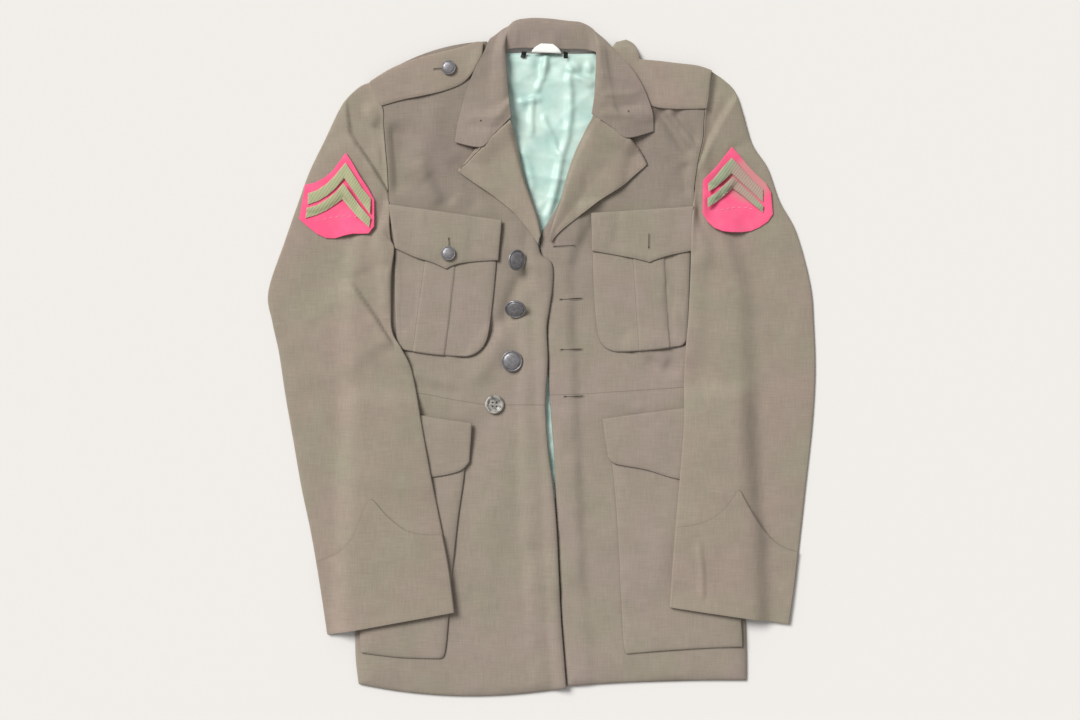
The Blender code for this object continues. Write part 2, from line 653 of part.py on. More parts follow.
def lay_pockets():
    """Box-pleated pockets with their flaps, each laid on its front."""
    pockets = (
        ("right_chest_pocket", RIGHT_CHEST_POCKET, 10, 10), ("left_chest_pocket", LEFT_CHEST_POCKET, 10, 10),
        ("right_lower_pocket", RIGHT_LOWER_POCKET, 12, 6), ("left_lower_pocket", LEFT_LOWER_POCKET, 12, 6),
    )
    for name, table, along, across in pockets:
        grid = plan(table, along, across)
        pleated = "chest" in name
        lift = swelling(along + 1, across + 1, POCKET_LIFT if pleated else LOOSE_POCKET_LIFT, 4, 4)
        if pleated:
            share = np.linspace(0, 1, across + 1)[None, :]
            lift = lift + PLEAT_RISE * np.exp(-((share - 0.5) / 0.17) ** 6) * np.ones_like(lift)
        lay(name, grid, POCKET_WALL, CLOTH, lift)
    flaps = (
        ("right_chest_flap", RIGHT_CHEST_FLAP), ("left_chest_flap", LEFT_CHEST_FLAP),
        ("right_lower_flap", RIGHT_LOWER_FLAP), ("left_lower_flap", LEFT_LOWER_FLAP),
    )
    for name, table in flaps:
        grid = plan(table, 16, 5)
        lay(name, grid, CLOTH_WALL, CLOTH, swelling(17, 6, FLAP_LIFT, 8, 4))


def lay_straps_and_lapels():
    """Shoulder straps, then the lapels turned back over the fronts."""
    for name, table in (("right_strap", RIGHT_STRAP), ("left_strap", LEFT_STRAP)):
        grid = plan(table, 14, 4)
        lay(name, grid, CLOTH_WALL, CLOTH, swelling(15, 5, STRAP_LIFT, 8, 3))
    for name, table in (("right_lapel", RIGHT_LAPEL), ("left_lapel", LEFT_LAPEL)):
        grid = plan(table, 12, 7)
        share = np.linspace(0, 1, 8)[None, :]
        lift = np.ones((13, 1)) * (ROLL_RISE * 0.7 * np.exp(-((share - 0.16) / 0.16) ** 2))
        lay(name, grid, CLOTH_WALL, CLOTH, lift)


def collar_points(sections):
    """The collar's middle surface: up the stand, over the roll and down the leaf, for each section.

    The roll lies down at both ends, where the collar is sewn to the lapels.
    """
    table = np.asarray(sections, float)
    seam, roll, mid, edge, free = table[:, 0:2], table[:, 2:4], table[:, 4:6], table[:, 6:8], table[:, 8]
    half = COLLAR_WALL / 2 + SEAM_GAP + 0.3
    low = PILE.rest(seam[:, 0], seam[:, 1], LEAF_REACH) + half
    leaf_mid = PILE.rest(mid[:, 0], mid[:, 1], LEAF_REACH + 4) + half
    leaf_edge = PILE.rest(edge[:, 0], edge[:, 1], LEAF_REACH) + half
    leaf_mid = leaf_mid * (1 - free) + UNDER_LEAF * free
    leaf_edge = leaf_edge * (1 - free) + UNDER_LEAF * free
    stand = low * (1 - free) + STAND_HEIGHT * free
    from_end = np.minimum(np.arange(len(table)), np.arange(len(table))[::-1]) / len(table)
    rise = ROLL_RISE * (0.15 + 0.85 * np.clip(from_end / 0.09, 0, 1))
    leaf_top = (low + rise) * (1 - free) + UNDER_LEAF * free
    rows = []
    for k in range(len(table)):
        path = np.array([
            [*seam[k], low[k]],
            [*(roll[k] * 0.7 + seam[k] * 0.3), stand[k]],
            [*roll[k], (stand[k] + leaf_top[k]) / 2],
            [*(roll[k] * 0.78 + mid[k] * 0.22), leaf_top[k]],
            [*(roll[k] * 0.4 + mid[k] * 0.6), leaf_top[k] * 0.62 + leaf_mid[k] * 0.38],
            [*mid[k], leaf_mid[k]],
            [*edge[k], leaf_edge[k]],
        ])
        rows.append(path)
    return np.stack(rows)


def lay_collar():
    """The collar in one piece, from the neck seam over the roll to its outer edge."""
    sections = through(COLLAR, np.linspace(0, len(COLLAR) - 1, 33))
    sections[:, 8] = np.clip(sections[:, 8], 0, 1)
    paths = collar_points([Section(*row) for row in sections])
    steps = np.array([0, 0.5, 1, 1.5, 2, 2.5, 3, 3.5, 4, 5, 6])
    points = np.stack([through(path, steps) for path in paths])
    part = shell("collar", points, COLLAR_WALL, CLOTH, offset=0.0)
    PILE.add(part)


def sleeve_point(table, places, share):
    """The place, seen from above, of each point of a flat sleeve from its station and its share of the width."""
    rings = through([tuple(row) for row in table], places.ravel())
    ax, ay, bx, by, bow, hollow = (rings[:, k].reshape(places.shape) for k in range(6))
    length = np.hypot(bx - ax, by - ay)
    swell = bow * 4 * share * (1 - share)
    x = ax + (bx - ax) * share - (by - ay) / length * swell
    y = ay + (by - ay) * share + (bx - ax) / length * swell
    return x, y, hollow, length


def lay_sleeve(name, table, folds):
    """A sleeve pressed flat: a tube whose lower side lies on the body and the floor."""
    stations = 24
    around = 18
    angle = np.linspace(0, 2 * math.pi, around, endpoint=False)[None, :]
    places = even_places(table, stations)[:, None] * np.ones_like(angle)
    share = 0.5 - 0.5 * np.sign(np.cos(angle)) * np.abs(np.cos(angle)) ** 0.85 * np.ones_like(places)
    length = sleeve_point(table, places, share)[3]
    inset = SLEEVE_WALL / length
    x, y, hollow, length = sleeve_point(table, places, inset + share * (1 - 2 * inset))
    upper = np.clip(np.sin(angle), 0, 1) ** 0.6 * np.ones_like(places)
    floor = PILE.rest(x, y, SLEEVE_REACH, SLEEVE_SOFT) + SLEEVE_WALL + SEAM_GAP
    z = floor + upper * (hollow + fold_height(x, y, folds))
    part = shell(name, np.stack([x, y, z], axis=-1), SLEEVE_WALL, CLOTH, closed=True)
    PILE.add(part)


def lay_cuff(name, table, points):
    """The pointed cuff, laid on its sleeve from the sleeve's end up to its pointed edge."""
    along = 4
    edge = np.asarray(points, float)
    share = np.linspace(edge[0, 0], edge[-1, 0], 19)[None, :]
    height = np.interp(share, edge[:, 0], edge[:, 1])
    run = sleeve_run(table)
    up = np.linspace(0, 1, along + 1)[:, None]
    places = np.interp(run[-1] - up * height, run, np.arange(len(table)))
    x, y, hollow, length = sleeve_point(table, places, share * np.ones_like(places))
    lay(name, (x, y), CUFF_WALL, CLOTH)


def sleeve_run(table):
    """The distance down the middle of a sleeve at each of its rings."""
    middles = np.array([((ring.ax + ring.bx) / 2, (ring.ay + ring.by) / 2) for ring in table])
    return np.concatenate([[0], np.cumsum(np.hypot(*np.diff(middles, axis=0).T))])


def seat(part):
    """Lowers or lifts a finished part until it lies just above the pile."""
    points = triangles_of(part).reshape(-1, 3) / MM
    under = PILE.rest(points[:, 0], points[:, 1], 1.5, 0)
    part.location.z += (SEAT_GAP - (points[:, 2] - under).min()) * MM
    bpy.context.view_layer.update()


def turned(name, profile, material, place, tilt=(0.0, 0.0), steps=18):
    """A turned piece: its profile runs from the top of the axis down the outside to the foot."""
    mesh = bpy.data.meshes.new(name)
    points = [(r * MM, 0, z * MM) for r, z in profile]
    mesh.from_pydata(points, [(i, i + 1) for i in range(len(points) - 1)], [])
    mesh.materials.append(material)
    part = bpy.data.objects.new(name, mesh)
    PARTS.objects.link(part)
    spin = part.modifiers.new("Turn", "SCREW")
    spin.steps = steps
    spin.render_steps = steps
    spin.use_merge_vertices = True
    spin.merge_threshold = 0.00001
    part.rotation_euler = (math.radians(tilt[0]), math.radians(tilt[1]), 0)
    part.location = (place[0] * MM, place[1] * MM, 0.05)
    bpy.context.view_layer.update()
    return part


def dome_button(name, radius, place, tilt=(0.0, 0.0)):
    """A metal shank button: a low dome, a rolled rim, a flat back and the stub of a shank."""
    profile = (
        (0, 0.44 * radius), (0.45 * radius, 0.4 * radius), (0.8 * radius, 0.26 * radius),
        (0.94 * radius, 0.24 * radius), (radius, 0.15 * radius), (0.94 * radius, 0.05 * radius),
        (0.22 * radius, 0), (0.2 * radius, -0.16 * radius), (0, -0.16 * radius),
    )
    part = turned(name, profile, METAL, place, tilt)
    seat(part)


def four_hole_button():
    """A plain sewn-through button with a raised rim and four holes."""
    radius = PLAIN_BUTTON
    profile = ((0, 1.9), (6.6, 1.9), (8.4, 3.2), (10.4, 3.4), (radius, 2.4), (radius, 1.0), (9.8, 0), (0, 0))
    part = turned("plain_button", profile, HORN, PLACES["plain_button"])
    for i, (dx, dy) in enumerate(((-2.6, -2.6), (2.6, -2.6), (2.6, 2.6), (-2.6, 2.6))):
        bpy.ops.mesh.primitive_cylinder_add(vertices=10, radius=1.2 * MM, depth=20 * MM)
        drill = bpy.context.object
        drill.name = f"hole_{i + 1}"
        drill.location = (part.location.x + dx * MM, part.location.y + dy * MM, part.location.z)
        drill.hide_render = True
        drill.display_type = "WIRE"
        for home in list(drill.users_collection):
            home.objects.unlink(drill)
        CUTTERS.objects.link(drill)
        cut = part.modifiers.new(f"Hole {i + 1}", "BOOLEAN")
        cut.operation = "DIFFERENCE"
        cut.object = drill
    bpy.context.view_layer.update()
    seat(part)


def main():
    """Lays the pieces in the order in which they lie on each other."""
    lay_back()
    lay("back_lining", plan(LINING, 24, 8), LINING_WALL, SATIN)
    lay_fronts()
    lay_pockets()
    lay_straps_and_lapels()
    lay_collar()
    lay_sleeve("right_sleeve", RIGHT_SLEEVE, RIGHT_SLEEVE_FOLDS)
    lay_sleeve("left_sleeve", LEFT_SLEEVE, LEFT_SLEEVE_FOLDS)
    lay_cuff("right_cuff", RIGHT_SLEEVE, RIGHT_CUFF)
    lay_cuff("left_cuff", LEFT_SLEEVE, LEFT_CUFF)
    lay("neck_label", plan(NECK_LABEL, 5, 10), LINING_WALL, WHITE, reach=CLOSE_REACH, soft=0)
    for name, table in LOOP_ENDS.items():
        lay(name, plan(table, 5, 3, corners=True), LINING_WALL, BLACK, reach=CLOSE_REACH, soft=0)
    lay("right_badge", plan(RIGHT_PATCH, 10, 4, corners=True), BADGE_WALL, FELT)
    lay("left_badge", plan(LEFT_PATCH, 8, 4, corners=True), BADGE_WALL, FELT)
    for name, table in STRIPES.items():
        lay(name, plan(table, 12, 2, corners=True), STRIPE_WALL, STRIPE, reach=STRIPE_REACH, soft=0)
    dome_button("front_button_1", LARGE_BUTTON, PLACES["front_button_1"], (6, 38))
    dome_button("front_button_2", LARGE_BUTTON, PLACES["front_button_2"], (38, -5))
    dome_button("front_button_3", LARGE_BUTTON, PLACES["front_button_3"], (4, 3))
    dome_button("pocket_button", SMALL_BUTTON, PLACES["pocket_button"])
    dome_button("strap_button", SMALL_BUTTON, PLACES["strap_button"])
    four_hole_button()


start_clean()
PARTS = new_collection("service_jacket")
CUTTERS = new_collection("cutters")
CLOTH = new_material("wool_cloth", (0.32, 0.28, 0.23), 0.9)
SATIN = new_material("lining_satin", (0.6, 0.8, 0.72), 0.4)
WHITE = new_material("white_tape", (0.95, 0.95, 0.9), 0.8)
BLACK = new_material("black_ribbon", (0.02, 0.02, 0.025), 0.6)
FELT = new_material("red_felt", (0.95, 0.15, 0.27), 0.9)
STRIPE = new_material("green_braid", (0.4, 0.42, 0.25), 0.85)
METAL = new_material("dark_metal", (0.3, 0.28, 0.29), 0.4, 0.9)
HORN = new_material("grey_plastic", (0.4, 0.38, 0.38), 0.3)
PILE = Pile()
main()
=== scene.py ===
"""The looks of a uniform service jacket that lies flat: wool shells with folds, satin lining, felt badges.

All tables are in millimetres on the table top, as the solids are: +X to the wearer's left, +Y to the collar.
Each cloth piece is a surface over a grid of two parameters, laid on a height map of what lies under it.
"""

import math
from collections import namedtuple

import bpy
import numpy as np
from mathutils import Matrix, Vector


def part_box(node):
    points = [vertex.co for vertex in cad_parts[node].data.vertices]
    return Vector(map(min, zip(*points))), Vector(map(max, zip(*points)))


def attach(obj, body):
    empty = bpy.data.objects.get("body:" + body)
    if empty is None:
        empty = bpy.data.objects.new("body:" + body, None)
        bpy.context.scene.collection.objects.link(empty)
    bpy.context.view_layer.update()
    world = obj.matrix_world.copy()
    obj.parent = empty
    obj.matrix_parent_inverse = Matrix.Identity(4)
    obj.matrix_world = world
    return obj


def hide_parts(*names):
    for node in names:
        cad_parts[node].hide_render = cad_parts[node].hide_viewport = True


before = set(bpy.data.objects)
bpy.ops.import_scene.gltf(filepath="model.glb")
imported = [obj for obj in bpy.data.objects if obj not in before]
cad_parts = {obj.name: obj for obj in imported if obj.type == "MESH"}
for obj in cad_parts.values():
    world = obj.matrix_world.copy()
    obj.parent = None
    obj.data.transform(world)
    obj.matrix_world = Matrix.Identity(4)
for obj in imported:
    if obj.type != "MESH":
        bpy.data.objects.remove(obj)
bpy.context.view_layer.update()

# Metres in a millimetre
MM = 0.001
# The cloth's thickness in each piece, and the gap that is kept under it
CLOTH_WALL = 1.3
BACK_WALL = 1.5
LINING_WALL = 0.8
POCKET_WALL = 0.9
FLAP_WALL = 1.0
COLLAR_WALL = 1.4
SLEEVE_WALL = 0.9
CUFF_WALL = 0.8
BADGE_WALL = 1.0
STRIPE_WALL = 0.8
LABEL_WALL = 0.8
RIBBON_WALL = 0.9
SEAM_GAP = 0.3
# How high the fronts, the rolls of the lapels and collar, the hanging leaf and the collar's stand rise
FRONT_PUFF = 4.5
ROLL_RISE = 5.2
UNDER_LEAF = 1.3
STAND_HEIGHT = 7.6
# The distance between grid points, and how many there are where a count is simpler
STEP = 3.0
LINING_STEP = 2.3
CUFF_STEP = 1.9
FINE_STEP = 1.7
STRIPE_STEP = 1.2
TRIM_STEP = 1.0
BACK_FALLS = 120
BACK_LEVELS = 90
COLLAR_SECTIONS = 240
SLEEVE_ROUND = 96
CUFF_ACROSS = 101
BEAD_SIDES = 6
# Extra grid points this far inside an edge, so that it can be rounded, and how wide the rounding is
LIP_PLACES = (0.5, 1.1, 1.9)
LIP_WIDTH = 3.0
# Folds start this far inside a piece's edge; what folds are multiplied by; and the size of its waves
FLAT_RIM = 12
FOLD_GAIN = 1.3
WAVE_SIZE = 26
# The fronts swell over this distance from their edges
FRONT_RIM = 40.0
# Down a sleeve: how far the armhole pulls it in, and where its cap starts and how long it goes over
ARMHOLE_PULL = 26
CAP_START = 40
CAP_RUN = 110
# Beside the gorge: where the collar's height is read, and how far into the lapel the rise reaches
COLLAR_READ = 2.0
GORGE_RISE = 24
TACK_COUNT = 6
STITCH_INSET = 2.4
NO_STITCH = 30.0
NO_SEAM = 40.0
# The middle of the rubbed place on the wearer's left badge, in metres
RUBBED_PLACE = (0.25, 0.213)
HOLE_WIDTH = 2.2
EYELET_RADIUS = 1.1
# The photo's size, its millimetres to a pixel, and the pixel that is the origin
PHOTO_WIDTH = 1080
PHOTO_HEIGHT = 720
SCALE = 1.2
PHOTO_X = 541.0
PHOTO_Y = 357.5
# The camera's height, the cloth's middle height under it, and the width of its sensor
CAMERA_HEIGHT = 2500.0
HALF_RISE = 8
SENSOR = 36.0
# The sun's place, spread in degrees and power, the light of the room, and the floor, in metres
LIGHT_PLACE = (-1.1, 1.0, 1.5)
LIGHT_SPREAD = 28.0
LIGHT_POWER = 3.1
ROOM_LIGHT = 0.38
FLOOR_HALF = 4.0
FLOOR_LEVEL = -0.0004

# One line across a piece: from (ax, ay) to (bx, by), bowed sideways by bow at its middle.
Line = namedtuple("Line", "ax ay bx by bow", defaults=(0,))
# One line down the back: shoulder or neck end, chest level and hem end.
Fall = namedtuple("Fall", "top_x top_y chest_x chest_y hem_x hem_y")
# One ring of a sleeve pressed flat: outer and inner edge, the line's bow and the hollow between its sides.
Ring = namedtuple("Ring", "ax ay bx by bow hollow", defaults=(0, 3))
# One section of the collar: neck seam, roll line, notch line, edge; free is 1 where the leaf hangs clear.
Section = namedtuple("Section", "seam_x seam_y roll_x roll_y mid_x mid_y edge_x edge_y free", defaults=(0,))
# One point of a cuff's upper edge: its share of the sleeve's width from the outer side, and its height in mm.
CuffPoint = namedtuple("CuffPoint", "share height")
# One soft fold: a ridge (height over 0) or a trough (under 0) from a to b, with its half width.
Fold = namedtuple("Fold", "ax ay bx by height width")
# One worked buttonhole: its middle, its length and its turn in degrees.
Hole = namedtuple("Hole", "name x y length turn")
# The grid of a piece: its places and their distances from its four edges.
Plan = namedtuple("Plan", "x y from_start from_end from_side_a from_side_b")


def rows(kind, *values):
    """A table whose rows all have one kind's columns."""
    return tuple(kind(*row) for row in values)


# The body: back, lining, fronts and what is sewn on them, row by row from the top down
BACK = rows(
    Fall,
    (-203.8, 330.8, -206, 150, -218.4, -389), (-170, 347, -172, 152, -190, -395),
    (-120, 362, -125, 152, -150, -400), (-68, 378, -80, 152, -100, -404), (-40, 366.4, -40, 152, -50, -404),
    (7, 365, 7, 152, 12, -396), (54, 366, 54, 152, 70, -392), (74, 366, 80, 152, 100, -391),
    (118, 358.8, 125, 152, 150, -389.5), (166, 350.6, 172, 152, 205, -388), (204, 344, 206, 150, 246, -386),
)
LINING = rows(
    Line,
    (-42, 366.4, 65, 365.4, -1), (-58, 340, 82, 340), (-62, 300, 88, 300), (-58, 250, 80, 250),
    (-44, 200, 62, 200), (-26, 160, 40, 160), (-16, 120, 26, 120), (-14, 60, 26, 60), (-14, -20, 30, -20),
    (-14, -110, 34, -110), (-10, -210, 38, -210), (-4, -300, 42, -300), (2, -384, 48, -384),
)
FRONTS = {
    "left_front": rows(
        Line,
        (204.6, 343, 76, 366, 6), (199.2, 315.6, 72, 345, 5), (195.6, 289, 67.8, 318.6, 2.4),
        (194, 262, 62.4, 287.4), (188, 234, 46.8, 246.6), (183.6, 199, 32.4, 208.2), (186, 172, 18, 176),
        (197, 142, 2.4, 150), (212, 116, 0, 130), (220, 90, 1.2, 107.4), (228.6, 62, 4.8, 78.6),
        (229.2, 33, 7.2, 45), (230.4, -3, 8.4, 6.6), (232.8, -45, 11, -39), (234.6, -81, 13.8, -81),
        (236.4, -123, 16.8, -120.6), (238.8, -171, 18.4, -171), (241.2, -219, 20.4, -219),
        (243, -267, 23.2, -267), (244.8, -315, 25.6, -315), (246, -357, 28.2, -357),
        (246, -387, 31.2, -394.2, -2.4),
    ),
    "right_front": rows(
        Line,
        (-204, 330, -66, 379.5, 11), (-189.6, 300.6, -52, 352, 6), (-188.4, 279, -43.2, 318.6, 2.4),
        (-186, 249, -37.2, 282.6), (-183.6, 219, -28.8, 241.8), (-184, 182, -18, 196.2),
        (-196, 148, -9, 162.6), (-208, 119, -4.2, 135), (-211, 101.4, 0, 121.8), (-213, 88.2, 12, 112.2),
        (-215.4, 66.6, 13.2, 88.2), (-216, 39, 9.6, 60.6), (-216.6, 15, 6, 35.4), (-217.2, -21, 7.2, -5.4),
        (-217.2, -51, 4.6, -47.4), (-217.8, -87, 5.4, -82.2), (-218.4, -123, 8.4, -117),
        (-219.6, -165, 13.8, -156.6), (-220.8, -213, 18, -207), (-221.4, -261, 20.4, -258.6),
        (-222, -309, 22.8, -309), (-222, -357, 26.4, -357, -3.6), (-218.4, -391.8, 29.4, -396, -12),
    ),
}
LAPELS = {
    "right_lapel": rows(
        Line,
        (-39.5, 290.5, -74.5, 254), (-37.6, 286, -96.2, 226.4, 0.8), (-36.6, 283.2, -98.8, 223.2, 1.2),
        (-31.2, 263.4, -82.8, 211.8), (-26.4, 241.8, -63.6, 198.6), (-20.4, 215.4, -45.6, 184.8),
        (-12.6, 191.4, -27.6, 168), (-4.8, 167.4, -13.8, 151.2), (-1.2, 145.8, -3.6, 136.2),
    ),
    "left_lapel": rows(
        Line,
        (65, 294, 101.5, 267, 1), (63.2, 291, 124, 233.8, 9), (62.4, 288.6, 125.8, 230.5, 9),
        (51.6, 268.2, 112.8, 219, 2), (40.8, 245.4, 97.2, 205.8), (31.2, 217.8, 74.4, 190.8),
        (22.8, 186.6, 50.4, 172.8), (13.8, 157.8, 25.2, 153), (9, 141, 12, 139.2),
    ),
}
STRAPS = {
    "right_strap": rows(
        Line,
        (-190.4, 302.6, -204.4, 331.2), (-165.6, 309.6, -177.6, 347.4), (-140.4, 314.4, -147.6, 358.8),
        (-114, 321, -117.6, 366.6), (-93.6, 330, -93.4, 372.6), (-80.4, 344.4, -78, 378),
        (-71, 362, -69.6, 377.6),
    ),
    "left_strap": rows(
        Line,
        (198.6, 299, 204.2, 344.2), (177.6, 298.4, 188.4, 349.6), (157.2, 298.4, 164.4, 352.6),
        (135.6, 301.2, 141.6, 355.4), (114, 311.4, 128.4, 356.6), (94.8, 330.6, 118.8, 357.8),
        (86, 350, 117, 363), (84.6, 367, 111.6, 376.2), (90.6, 378.4, 102, 381.8),
    ),
}
CHEST_POCKETS = {
    "right_chest_pocket": rows(
        Line,
        (-176.4, 172.2, -51.6, 161.4), (-175.2, 114.6, -54, 113.4), (-175.2, 69, -57.8, 71.4),
        (-174, 42, -61, 44.6), (-173, 27, -63.7, 27), (-172, 20, -67, 17.5), (-170, 14.5, -72, 10.2, -0.5),
        (-166, 10.6, -80, 4.4, -1.2), (-162, 9.4, -89, 1.8, -1.8),
    ),
    "left_chest_pocket": rows(
        Line,
        (178.8, 173.4, 63.6, 168.6), (178.8, 123, 62.2, 121.8), (177.6, 75, 64, 71), (176.4, 46, 66.4, 42),
        (175.8, 32, 68, 30), (175, 25, 70.6, 21.5), (173.5, 19.5, 75, 14.5, 0.5), (170.5, 15.8, 82, 9.6, 1),
        (167, 14.4, 91, 7.4, 1.6),
    ),
}
LOWER_POCKETS = {
    "right_lower_pocket": rows(
        Line,
        (-212.4, -72.6, -88.8, -82.2), (-213.6, -135, -92.2, -137.4), (-216, -207, -100.8, -201),
        (-216.4, -279, -108.2, -273), (-217, -339, -114.6, -348.6), (-215.8, -353.4, -120, -360.6, -2.4),
    ),
    "left_lower_pocket": rows(
        Line,
        (229, -65.4, 78, -76.2), (232, -129, 85.8, -130.2), (235, -201, 92, -204.6), (238, -279, 96, -285),
        (241, -334.2, 99.4, -345), (241.2, -346.8, 103.2, -355.2, -1.2),
    ),
}
# Flaps, badges and stripes, row by row from side to side
FLAPS = {
    "right_chest_flap": rows(
        Line,
        (-182.4, 183.6, -174.5, 131), (-152, 179.3, -150.2, 120.2), (-133, 176.6, -132, 114.6),
        (-118, 174.5, -118, 108.6), (-112.6, 173.6, -113.4, 106.4), (-107, 172.8, -108.4, 109),
        (-95, 171.2, -97.6, 112.7), (-75, 168.3, -77.5, 115.2), (-47.4, 164.4, -51.6, 116.8),
    ),
    "left_chest_flap": rows(
        Line,
        (60.6, 172.8, 61.4, 127.9), (84, 174.4, 84.5, 123.8), (108, 176, 108.5, 119.4),
        (124, 177.1, 124.6, 115.8), (130, 177.5, 130.1, 114.2), (135.6, 177.9, 135.8, 116.6),
        (153, 179, 153.1, 122.2), (182.4, 181, 183, 128.4),
    ),
    "right_lower_flap": rows(
        Line,
        (-211.2, -58.2, -208.8, -135), (-169.2, -64.8, -166.8, -144), (-126, -72.6, -128.4, -142.8),
        (-94.8, -77.2, -98.4, -136.2), (-83.2, -79, -86.4, -125.4),
    ),
    "left_lower_flap": rows(
        Line,
        (73.6, -73.4, 81, -119.4), (86.4, -71.8, 90, -127.2), (124.8, -66.6, 126, -134.2),
        (170.4, -60.8, 166.8, -145.8), (226.8, -54.6, 229.2, -151.8),
    ),
}
PATCHES = {
    "right": rows(
        Line,
        (-290.4, 166.2, -283.2, 207.6), (-280.8, 157.8, -272.4, 209.4), (-268.8, 148.2, -260.4, 215.4),
        (-258, 143.4, -249.6, 224.4), (-247.2, 143, -240, 237), (-235.2, 146.4, -234, 245.4),
        (-225.6, 148.2, -226.8, 234.6), (-216, 148.2, -217.2, 217.8), (-206.4, 148.4, -207.6, 203.4),
        (-199.8, 156.6, -199.8, 189),
    ),
    "left": rows(
        Line,
        (193.2, 172.2, 194.4, 213), (199.2, 162.6, 201.6, 220.2), (207.6, 154.8, 210, 228.6),
        (217.2, 151.2, 218.4, 239.4), (228, 150, 228.6, 252.6), (240, 150, 237.6, 243),
        (252, 151.8, 248.4, 230.4), (262.8, 156.6, 259.2, 219), (272.4, 163.2, 270, 209.4),
        (278.4, 172.2, 276, 198.6),
    ),
}
STRIPES = {
    "right_stripe_upper": rows(
        Line,
        (-279.6, 183.6, -279.6, 196.8), (-267.6, 187.8, -268.8, 200.4), (-255.6, 195, -256.8, 208.2),
        (-244.8, 204.6, -245.4, 219.6), (-235.8, 215.4, -234, 233.4), (-226.8, 202.8, -225, 219.6),
        (-216, 187.2, -214.8, 203.4), (-204.6, 171.6, -204, 190.2),
    ),
    "right_stripe_lower": rows(
        Line,
        (-282.6, 167.4, -280.8, 179.4), (-270, 171, -268.8, 182.4), (-258, 176.4, -256.8, 189.6),
        (-247.2, 183.6, -246, 198), (-238.2, 190.2, -236.4, 208.2), (-229.2, 179.4, -227.4, 195.6),
        (-218.4, 167.4, -216.6, 181.2), (-205.2, 155.4, -204, 166.2),
    ),
    "left_stripe_upper": rows(
        Line,
        (200.4, 198.6, 200.4, 208.2), (208.8, 203.4, 208.8, 216.6), (218.4, 211.8, 218.4, 228.6),
        (228.6, 220.8, 228.6, 239.4), (240, 210.6, 240, 226.8), (252, 199.8, 252, 214.2),
        (266.4, 186.6, 266.4, 201),
    ),
    "left_stripe_lower": rows(
        Line,
        (199.2, 179.4, 199.2, 190.2), (208.8, 185.4, 208.8, 196.8), (218.4, 193.2, 218.4, 205.8),
        (229.8, 203.4, 229.8, 216), (241.2, 195, 241.2, 205.8), (253.2, 184.8, 253.2, 195),
        (266.4, 174, 266.4, 181.8),
    ),
}
# The blank label and the two ends of the hanger loop that show at the neck
NECK_LABEL = rows(
    Line,
    (-11.4, 366.4, 24.6, 365), (-7.2, 371.8, 20.4, 370.7), (0, 376.2, 14.4, 375.5),
)
LOOP_ENDS = {
    "loop_end_right": rows(
        Line,
        (-24.6, 360.4, -19.2, 359.2), (-22.8, 367.4, -16.8, 366.8),
    ),
    "loop_end_left": rows(
        Line,
        (27.2, 359.4, 32, 359), (26.8, 366.6, 32, 366.2),
    ),
}
# The sleeves from the armhole down, their cuffs and the collar from end to end
SLEEVES = {
    "right": rows(
        Ring,
        (-204, 331.2, -180.9, 194.4, 7, 2.2), (-217, 326.4, -181.4, 182, 4, 2.6),
        (-231.6, 313.8, -181.8, 170, 1), (-242.4, 298.2, -181.8, 155), (-259.2, 263.4, -180, 140),
        (-278.4, 223.8, -175.8, 129), (-292.8, 184.2, -178.8, 102.6), (-308.4, 139.8, -179.4, 67.8),
        (-328.2, 79.8, -178.2, 31.8), (-323.4, 42.6, -166.8, 10.2), (-315.6, 6.6, -156, -11.4),
        (-307.8, -45, -148.8, -43.8), (-299.4, -93, -141, -89.4), (-288.6, -155.4, -131.4, -142.2),
        (-276.6, -213, -120.4, -197.4), (-266.4, -273, -110.4, -249),
        (-257.5, -333, -103.2, -304.9, 0, 2.6),
    ),
    "left": rows(
        Ring,
        (206.4, 343.8, 183.6, 193.2, 2, 2.2), (219.6, 334.8, 183, 182.4, 0, 2.6),
        (233.4, 319.8, 181.8, 170.4), (242.4, 294.6, 180.6, 156), (253.8, 257.4, 180, 139.2),
        (272.4, 228.6, 179.4, 120), (286.8, 189, 178.8, 96), (307.2, 150.6, 177.6, 69.6),
        (324, 88.2, 175.8, 39.6), (328.2, 39, 172.8, 7.2), (330, -17.4, 171, -32.4),
        (326.4, -81, 170.4, -80.4), (318, -159, 165.6, -146.4), (310.8, -225, 160.2, -206.4),
        (305.4, -273, 156.6, -254.4), (298.8, -320.4, 153.6, -298.8, 0, 2.6),
    ),
}
CUFFS = {
    "right": rows(
        CuffPoint,
        (0.02, 84.5), (0.103, 88), (0.193, 92.5), (0.312, 107.5), (0.408, 130), (0.465, 144.5),
        (0.515, 152), (0.55, 146), (0.595, 133.5), (0.672, 118.5), (0.755, 108), (0.878, 102), (0.98, 100),
    ),
    "left": rows(
        CuffPoint,
        (0.02, 86.5), (0.16, 92), (0.268, 103.5), (0.38, 122), (0.478, 142), (0.53, 152), (0.575, 140.5),
        (0.633, 128), (0.723, 115), (0.85, 105), (0.98, 98.5),
    ),
}
